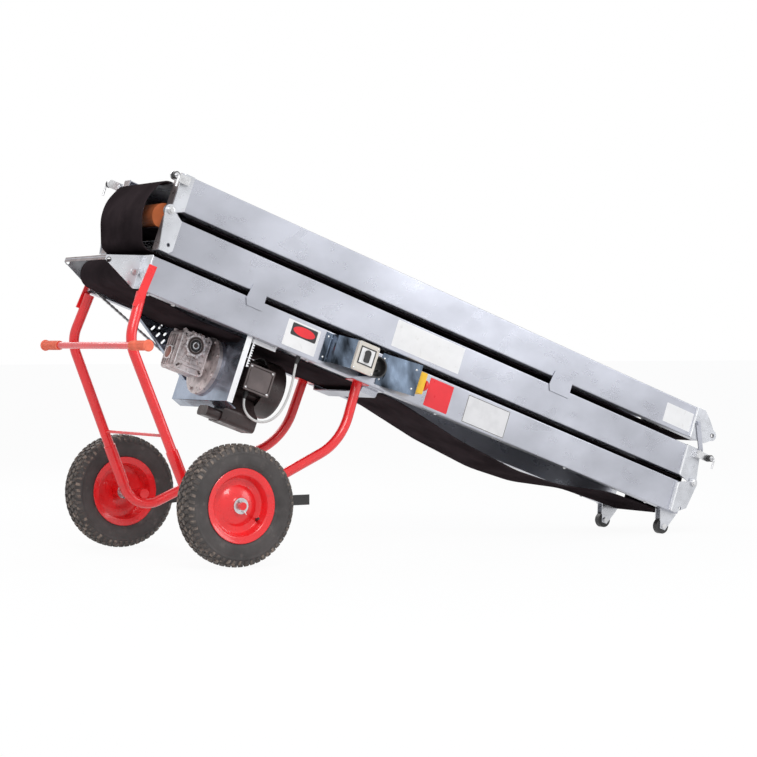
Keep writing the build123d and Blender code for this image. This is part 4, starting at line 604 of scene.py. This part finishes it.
bm = bmesh.new()
for turn in LOBES:
    lathe(bm, around(LOBE_CIRCLE, turn, BOX_FACE), NEAR, LOBE, 18)
for turn in turns(12):
    reach = RIB_LOW
    if abs(cos(turn)) > 0.8:
        reach = RIB_SIDE
    elif sin(turn) > 0.3:
        reach = RIB_IN / sin(turn)
    start = around(RIB_IN, turn, BOX_FACE - RIB_T / 2)
    stop = around(max(RIB_LEAST, reach), turn, BOX_FACE - RIB_T / 2)
    along = (stop - start).normalized()
    length = (stop - start).length / MM
    block(bm, (start + stop) / 2, along, NEAR.cross(along), NEAR, length, RIB_W, RIB_T)
for i in range(FIN_N):
    at = bed(FIN_S, FIN_FIRST_Y + FIN_PITCH * i, FIN_H)
    block(bm, at, NEAR, BED_H, BED_S, FIN_T, FIN_L, FIN_DEEP)
for s in TOP_LUGS:
    for y in (NEAR_LUG_Y, FAR_LUG_Y):
        lathe(bm, bed(s, y, LUG_TOP), BED_H, LUG, 16)
piece("gearbox_lobes", bm, CAST, "chassis")

bore = around(0, 0, RING_FACE)
worm = bed(WORM_S, WORM_Y, WORM_H)
bm = bmesh.new()
lathe(bm, bore, NEAR, SEAL_RING, closed=True)
for s in (BOX_LEFT + EDGE_W / 2, BOX_RIGHT - EDGE_W / 2):
    bed_block(bm, s, EDGE_FACE, EDGE_MIDDLE_H, EDGE_W, EDGE_HIGH, EDGE_T)
for h in EDGE_LEVELS:
    bed_block(bm, OUTPUT[0], EDGE_FACE, h, EDGE_LONG, EDGE_W, EDGE_T)
lathe(bm, worm, -BED_S, WORM_RING, 40, closed=True)
for turn in LOBES:
    hex_head(bm, around(LOBE_CIRCLE, turn, LOBE_BOLT_Y), NEAR, 4.2, BOLT_HIGH)
for turn in turns(4, pi / 4):
    y, h = WORM_Y + WORM_BOLT_CIRCLE * cos(turn), WORM_H + WORM_BOLT_CIRCLE * sin(turn)
    hex_head(bm, bed(WORM_S, y, h), -BED_S, 3.8, BOLT_HIGH)
for s in TOP_LUGS:
    hex_head(bm, bed(s, NEAR_LUG_Y, LUG_TOP + LUG_HIGH), BED_H, 4.0, BOLT_HIGH)
piece("gearbox_machined_faces", bm, CAST_EDGE, "chassis")

# Dark ring at the black seal round the output bore, and dark discs at the four lug holes: painted shade
bm = bmesh.new()
lathe(bm, bore, NEAR, SEAL_SHADE, closed=True)
for s in (-220, -140):
    for h in (604, 704):
        lathe(bm, bed(s, BOX_FACE - 5, h), NEAR, LUG_HOLE, 14)
piece("gearbox_painted_shade", bm, CAST_SHADE, "chassis", smooth=False)

bm = bmesh.new()
lathe(bm, worm, -BED_S, WORM_CAP, 36)
piece("gearbox_caps", bm, BROWN, "chassis")

# Dark disc and keyway block at the output bore: painted shade inside the bore
SHAFT_Y, SHAFT_HOLE = -31.0, [(0, 8.2), (0.3, 8.2)]
KEYWAY_UP, KEYWAY_W, KEYWAY_H, KEYWAY_T = 9.5, 4.5, 3.5, 0.5
bm = bmesh.new()
lathe(bm, around(0, 0, SHAFT_Y), NEAR, SHAFT_HOLE, 24)
bed_block(bm, OUTPUT[0], SHAFT_Y - 0.2, OUTPUT[1] + KEYWAY_UP, KEYWAY_W, KEYWAY_H, KEYWAY_T)
piece("output_bore_painted_shade", bm, CAST_SHADE, "chassis", smooth=False)

# Terminal box lid: frame, panel and corner screws
LID_S, LID_H, LID_FACE = 38.5, 638, -120
LID_SCREWS = [(LID_S + ds, LID_H + dh) for ds in (-43, 43) for dh in (-37, 37)]
LID_BARS = ((0, 42.5, 102, 5), (0, -42.5, 102, 5), (-48.5, 0, 5, 80), (48.5, 0, 5, 80))
LID_BOSS_HIGH = 3.2
LID_BOSS = [(0, 7.5), (LID_BOSS_HIGH - 0.6, 7.5), (LID_BOSS_HIGH, 6.8)]
bm = bmesh.new()
for ds, dh, length, height in LID_BARS:
    bed_block(bm, LID_S + ds, LID_FACE - 1.2, LID_H + dh, length, height, 2.8, 1.2)
for s, h in LID_SCREWS:
    lathe(bm, bed(s, LID_FACE, h), NEAR, LID_BOSS, 20)
piece("terminal_lid_frame", bm, MOTOR_LID, "chassis")
bm = bmesh.new()
bed_block(bm, LID_S, LID_FACE - 0.4, LID_H, 84, 72, 0.9, 8)
piece("terminal_lid_panel", bm, MOTOR_LID, "chassis", smooth=False)
bm = bmesh.new()
for s, h in LID_SCREWS:
    dome(bm, bed(s, LID_FACE - LID_BOSS_HIGH, h), NEAR, 4.2, 2.0)
piece("terminal_screws", bm, ZINC, "chassis")

# Painted highlight on folded edges, all in near-white: bulkhead lip, bar under the bed, notched strip and the
# cut edges of the end plates
BRIGHT_BARS = (
    (-83.5, -195.3, 636, 21, 229, 0.6), (-15, -178, 743.5, 94, 14, 4), (-62, -192, 700, 4, 96, 2))
TEETH, TOOTH_PITCH, TOOTH_FIRST_H = 11, 9, 656
TOOTH_S, TOOTH_Y = -57.5, -192
bm = bmesh.new()
for bar in BRIGHT_BARS:
    bed_block(bm, *bar)
for i in range(TEETH):
    bed_block(bm, TOOTH_S, TOOTH_Y, TOOTH_FIRST_H + TOOTH_PITCH * i, 5, 4.5, 2)
piece("edges_painted_highlight", bm, GALV_PAINTED_HIGHLIGHT, "chassis", smooth=False)

# Thin near-white sheets on the cut edges of the end plates, and strips beside them: painted highlight
PLATE_LEFT = 1804.0
EDGE_SHEET, STRIP_W, STRIP_T = 0.6, 5, 0.4
PLATE_EDGES = (
    ("chassis", 216.5, 13, 753, 862), ("mid_section", 213, 6, 894, 1008), ("top_section", 213, 6, 1042, 1156))
for body, y, wide, low, high in PLATE_EDGES:
    bm = bmesh.new()
    middle, height = (low + high) / 2, high - low
    for side in SIDES:
        bed_block(bm, PLATE_LEFT - EDGE_SHEET / 2, side * y, middle, EDGE_SHEET, height, wide)
        strip_y = side * (y + wide / 2 + STRIP_T / 2)
        bed_block(bm, PLATE_LEFT + STRIP_W / 2, strip_y, middle, STRIP_W, height, STRIP_T)
    piece("plate_edges_painted_highlight_" + body, bm, GALV_PAINTED_HIGHLIGHT, body, smooth=False)

LIP_FOLD = (-641.6, 0, 816.5, 2, 15, 306)
FLANGE_S, FLANGE_Y, FLANGE_UP = -505.3, 189, 59.2
FLANGE_T, FLANGE_HIGH, FLANGE_W = 0.5, 116, 41
bm = bmesh.new()
bed_block(bm, *LIP_FOLD)
piece("feed_lip_fold", bm, LIP, "chassis", smooth=False)
# Thin dark sheets over the end flanges of the mid and top sections: painted shade and belt reflection
for body, low in (("mid_section", 892.0), ("top_section", 1039.5)):
    bm = bmesh.new()
    for side in SIDES:
        bed_block(bm, FLANGE_S, side * FLANGE_Y, low + FLANGE_UP, FLANGE_T, FLANGE_HIGH, FLANGE_W)
    piece("end_flange_painted_shade_" + body, bm, LIP, body, smooth=False)

# Starter window: dark frame, white plate and black knob
WINDOW_S, WINDOW_H, WINDOW_FACE = 305, 819, -300
WINDOW_BARS = ((0, 28.5, 62, 4), (0, -28.5, 62, 4), (-29, 0, 4, 54), (29, 0, 4, 54))
KNOB_TOP = [(0, 11.5), (5, 11.5), (6.4, 10)]
bm = bmesh.new()
for ds, dh, length, height in WINDOW_BARS:
    bed_block(bm, WINDOW_S + ds, WINDOW_FACE - 0.6, WINDOW_H + dh, length, height, 1.6)
bed_block(bm, WINDOW_S, WINDOW_FACE - 4, WINDOW_H - 5, 20, 30, 6.4, 3)
lathe(bm, bed(WINDOW_S, WINDOW_FACE - 1, WINDOW_H + 11), NEAR, KNOB_TOP, 28)
piece("starter_frame_and_knob", bm, BLACK, "chassis", smooth=False)
bm = bmesh.new()
bed_block(bm, WINDOW_S, WINDOW_FACE - 0.4, WINDOW_H, 54, 53, 0.9)
piece("starter_plate", bm, WHITE_PLASTIC, "chassis", smooth=False)
bm = bmesh.new()
for s in (WINDOW_S - 36, WINDOW_S + 36):
    for h in (770, 857):
        dome(bm, bed(s, WINDOW_FACE, h), NEAR, 3.4, 1.8)
piece("starter_screws", bm, ZINC, "chassis")

# Black knobs on the spring plungers of the fold locks, and bolts on the hinge pins
LOCK_FACE, HINGE_FACE = 236, 229
KNOB = [
    (0, 9.4), (0, 11.5), (3, 12.4), (5, 11.0), (7, 11.0), (9, 12.4), (14, 12.4), (15.4, 11), (15.6, 9.4)]
for body, s, h in (("top_section", -540.0, 1133.0), ("mid_section", 1903.0, 988.75)):
    bm = bmesh.new()
    for side in SIDES:
        lathe(bm, bed(s, side * LOCK_FACE, h), Vector((0, side, 0)), KNOB, 24, closed=True)
    piece("lock_knobs_" + body, bm, BLACK, body)
for body, s, h in (("mid_section", -510.0, 1025.0), ("chassis", 1873.0, 880.75)):
    bm = bmesh.new()
    for side in SIDES:
        hex_head(bm, bed(s, side * HINGE_FACE, h), Vector((0, side, 0)), 8.4, 5.2, 12.4)
    piece("hinge_bolts_" + body, bm, ZINC, body)

# Black rings round the plain holes at the two ends: painted shade, so the holes read dark
HOLE_SHADE_RING = [(0, 6.4), (0, 8.6), (0.3, 8.6), (0.3, 6.4)]
for body, s, y, h in (("top_section", 1906.0, 216, 1078.5), ("chassis", -631.0, 156.5, 812.0)):
    bm = bmesh.new()
    for side in SIDES:
        lathe(bm, bed(s, side * y, h), Vector((0, side, 0)), HOLE_SHADE_RING, 24, closed=True)
    piece("hole_painted_shade_" + body, bm, BELT, body, smooth=False)

# Bolts under the bed, and rivets of the control shields
UNDERSIDE = 750.9
FRAME_BOLTS, FRAME_BOLT_Y = (-482, -384), 192
DECK_BOLTS, DECK_BOLT_Y = (20, 150, 700, 1300, 1700), 193
bm = bmesh.new()
for s in FRAME_BOLTS:
    hex_head(bm, bed(s, -FRAME_BOLT_Y, UNDERSIDE), -BED_H, 6.5, 5, 9)
for s in DECK_BOLTS:
    for side in SIDES:
        hex_head(bm, bed(s, side * DECK_BOLT_Y, UNDERSIDE), -BED_H, 5, 3.5, 7.5)
piece("bed_bolts", bm, ZINC, "chassis")

SHIELD_FLAT_Y = SIDE_Y - 2.5
SHIELD_OUT, SHIELD_RUN = 105, 66
SLOPE_RIVET_OUT = 90
FLAT_RIVETS, SLOPE_RIVETS = ((428, 782), (428, 856), (192, 778), (192, 850)), ((530, 784), (530, 852))
bm = bmesh.new()
for s, h in FLAT_RIVETS:
    dome(bm, bed(s, SHIELD_FLAT_Y, h), NEAR, 4.0, 2.2)
lean = (NEAR * SHIELD_OUT - BED_S * SHIELD_RUN).normalized()
for s, h in SLOPE_RIVETS:
    dome(bm, bed(s, SIDE_Y - SLOPE_RIVET_OUT * SHIELD_RUN / SHIELD_OUT, h), lean, 4.2, 2.4)
piece("shield_rivets", bm, ZINC, "chassis")

# Camera, as fitted to the photograph
CAMERA_AT = (-3405.3, -6585.4, 713.8)
CAMERA_TURN, CAMERA_DOWN = radians(32.592), radians(0.932)
FOCAL_PX, PHOTO_PX, SENSOR = 2219.0, 757.0, 36.0
cam_data = bpy.data.cameras.new("photo_camera")
cam = bpy.data.objects.new("photo_camera", cam_data)
bpy.context.scene.collection.objects.link(cam)
cam.location = mach(*CAMERA_AT)
level = cos(CAMERA_DOWN)
forward = Vector((sin(CAMERA_TURN) * level, cos(CAMERA_TURN) * level, -sin(CAMERA_DOWN)))
cam.rotation_euler = forward.to_track_quat("-Z", "Y").to_euler()
cam_data.sensor_width = SENSOR
cam_data.lens = FOCAL_PX / PHOTO_PX * SENSOR
cam_data.clip_end = 200
bpy.context.scene.camera = cam


# Floor, world and lamps
def white_for_camera(tree, surface, share):
    """Show white to the camera, glossy and transmission rays, and the surface to the rest."""
    nodes, link = tree.nodes, tree.links.new
    path = nodes.new("ShaderNodeLightPath")
    seen = path.outputs["Is Camera Ray"]
    for kind in ("Is Glossy Ray", "Is Transmission Ray"):
        larger = nodes.new("ShaderNodeMath")
        larger.operation = "MAXIMUM"
        link(seen, larger.inputs[0])
        link(path.outputs[kind], larger.inputs[1])
        seen = larger.outputs[0]
    scaled = nodes.new("ShaderNodeMath")
    scaled.operation = "MULTIPLY"
    link(seen, scaled.inputs[0])
    scaled.inputs[1].default_value = share
    is_sky = surface.bl_idname == "ShaderNodeBackground"
    white = nodes.new("ShaderNodeBackground" if is_sky else "ShaderNodeEmission")
    white.inputs["Color"].default_value = (1, 1, 1, 1)
    white.inputs["Strength"].default_value = 1.0
    mixer = nodes.new("ShaderNodeMixShader")
    link(scaled.outputs[0], mixer.inputs[0])
    link(surface.outputs[0], mixer.inputs[1])
    link(white.outputs[0], mixer.inputs[2])
    return mixer.outputs[0]


FLOOR_HALF, FLOOR_SHARE = 60, 0.94
corners = [(-FLOOR_HALF, -FLOOR_HALF, 0), (FLOOR_HALF, -FLOOR_HALF, 0), (FLOOR_HALF, FLOOR_HALF, 0),
           (-FLOOR_HALF, FLOOR_HALF, 0)]
floor_mesh = bpy.data.meshes.new("floor")
floor_mesh.from_pydata(corners, [], [(0, 1, 2, 3)])
floor = bpy.data.objects.new("floor", floor_mesh)
bpy.context.scene.collection.objects.link(floor)
floor_mat = bpy.data.materials.new("pale_floor")
floor_mat.use_nodes = True
floor_tree = floor_mat.node_tree
floor_bsdf = floor_tree.nodes["Principled BSDF"]
floor_bsdf.inputs["Base Color"].default_value = (0.93, 0.93, 0.93, 1)
floor_bsdf.inputs["Roughness"].default_value = 0.9
floor_tree.links.new(white_for_camera(floor_tree, floor_bsdf, FLOOR_SHARE),
                     floor_tree.nodes["Material Output"].inputs["Surface"])
floor_mesh.materials.append(floor_mat)

world = bpy.data.worlds.new("studio")
bpy.context.scene.world = world
world.use_nodes = True
world_tree = world.node_tree
sky = world_tree.nodes["Background"]
sky.inputs["Color"].default_value = (0.92, 0.95, 1.0, 1)
sky.inputs["Strength"].default_value = 0.55
world_tree.links.new(white_for_camera(world_tree, sky, 1.0),
                     world_tree.nodes["World Output"].inputs["Surface"])


def lamp(name, at, aim, size, power, colour=(1, 1, 1)):
    """A rectangular lamp, in metres and watts."""
    data = bpy.data.lights.new(name, "AREA")
    data.shape = "RECTANGLE"
    data.size, data.size_y = size
    data.energy = power
    data.color = colour
    obj = bpy.data.objects.new(name, data)
    bpy.context.scene.collection.objects.link(obj)
    obj.location = at
    obj.rotation_euler = (Vector(aim) - Vector(at)).to_track_quat("-Z", "Y").to_euler()


lamp("key", (-2.2, -3.4, 3.6), (0, 0, 0.5), (2.4, 1.8), 105)
lamp("fill", (3.0, -3.2, 1.8), (0, 0, 0.5), (2.0, 2.0), 38, (0.95, 0.97, 1.0))
lamp("back", (-0.5, 3.6, 3.2), (0, 0, 0.6), (3.0, 1.5), 60)

bpy.context.scene.view_settings.view_transform = "Standard"
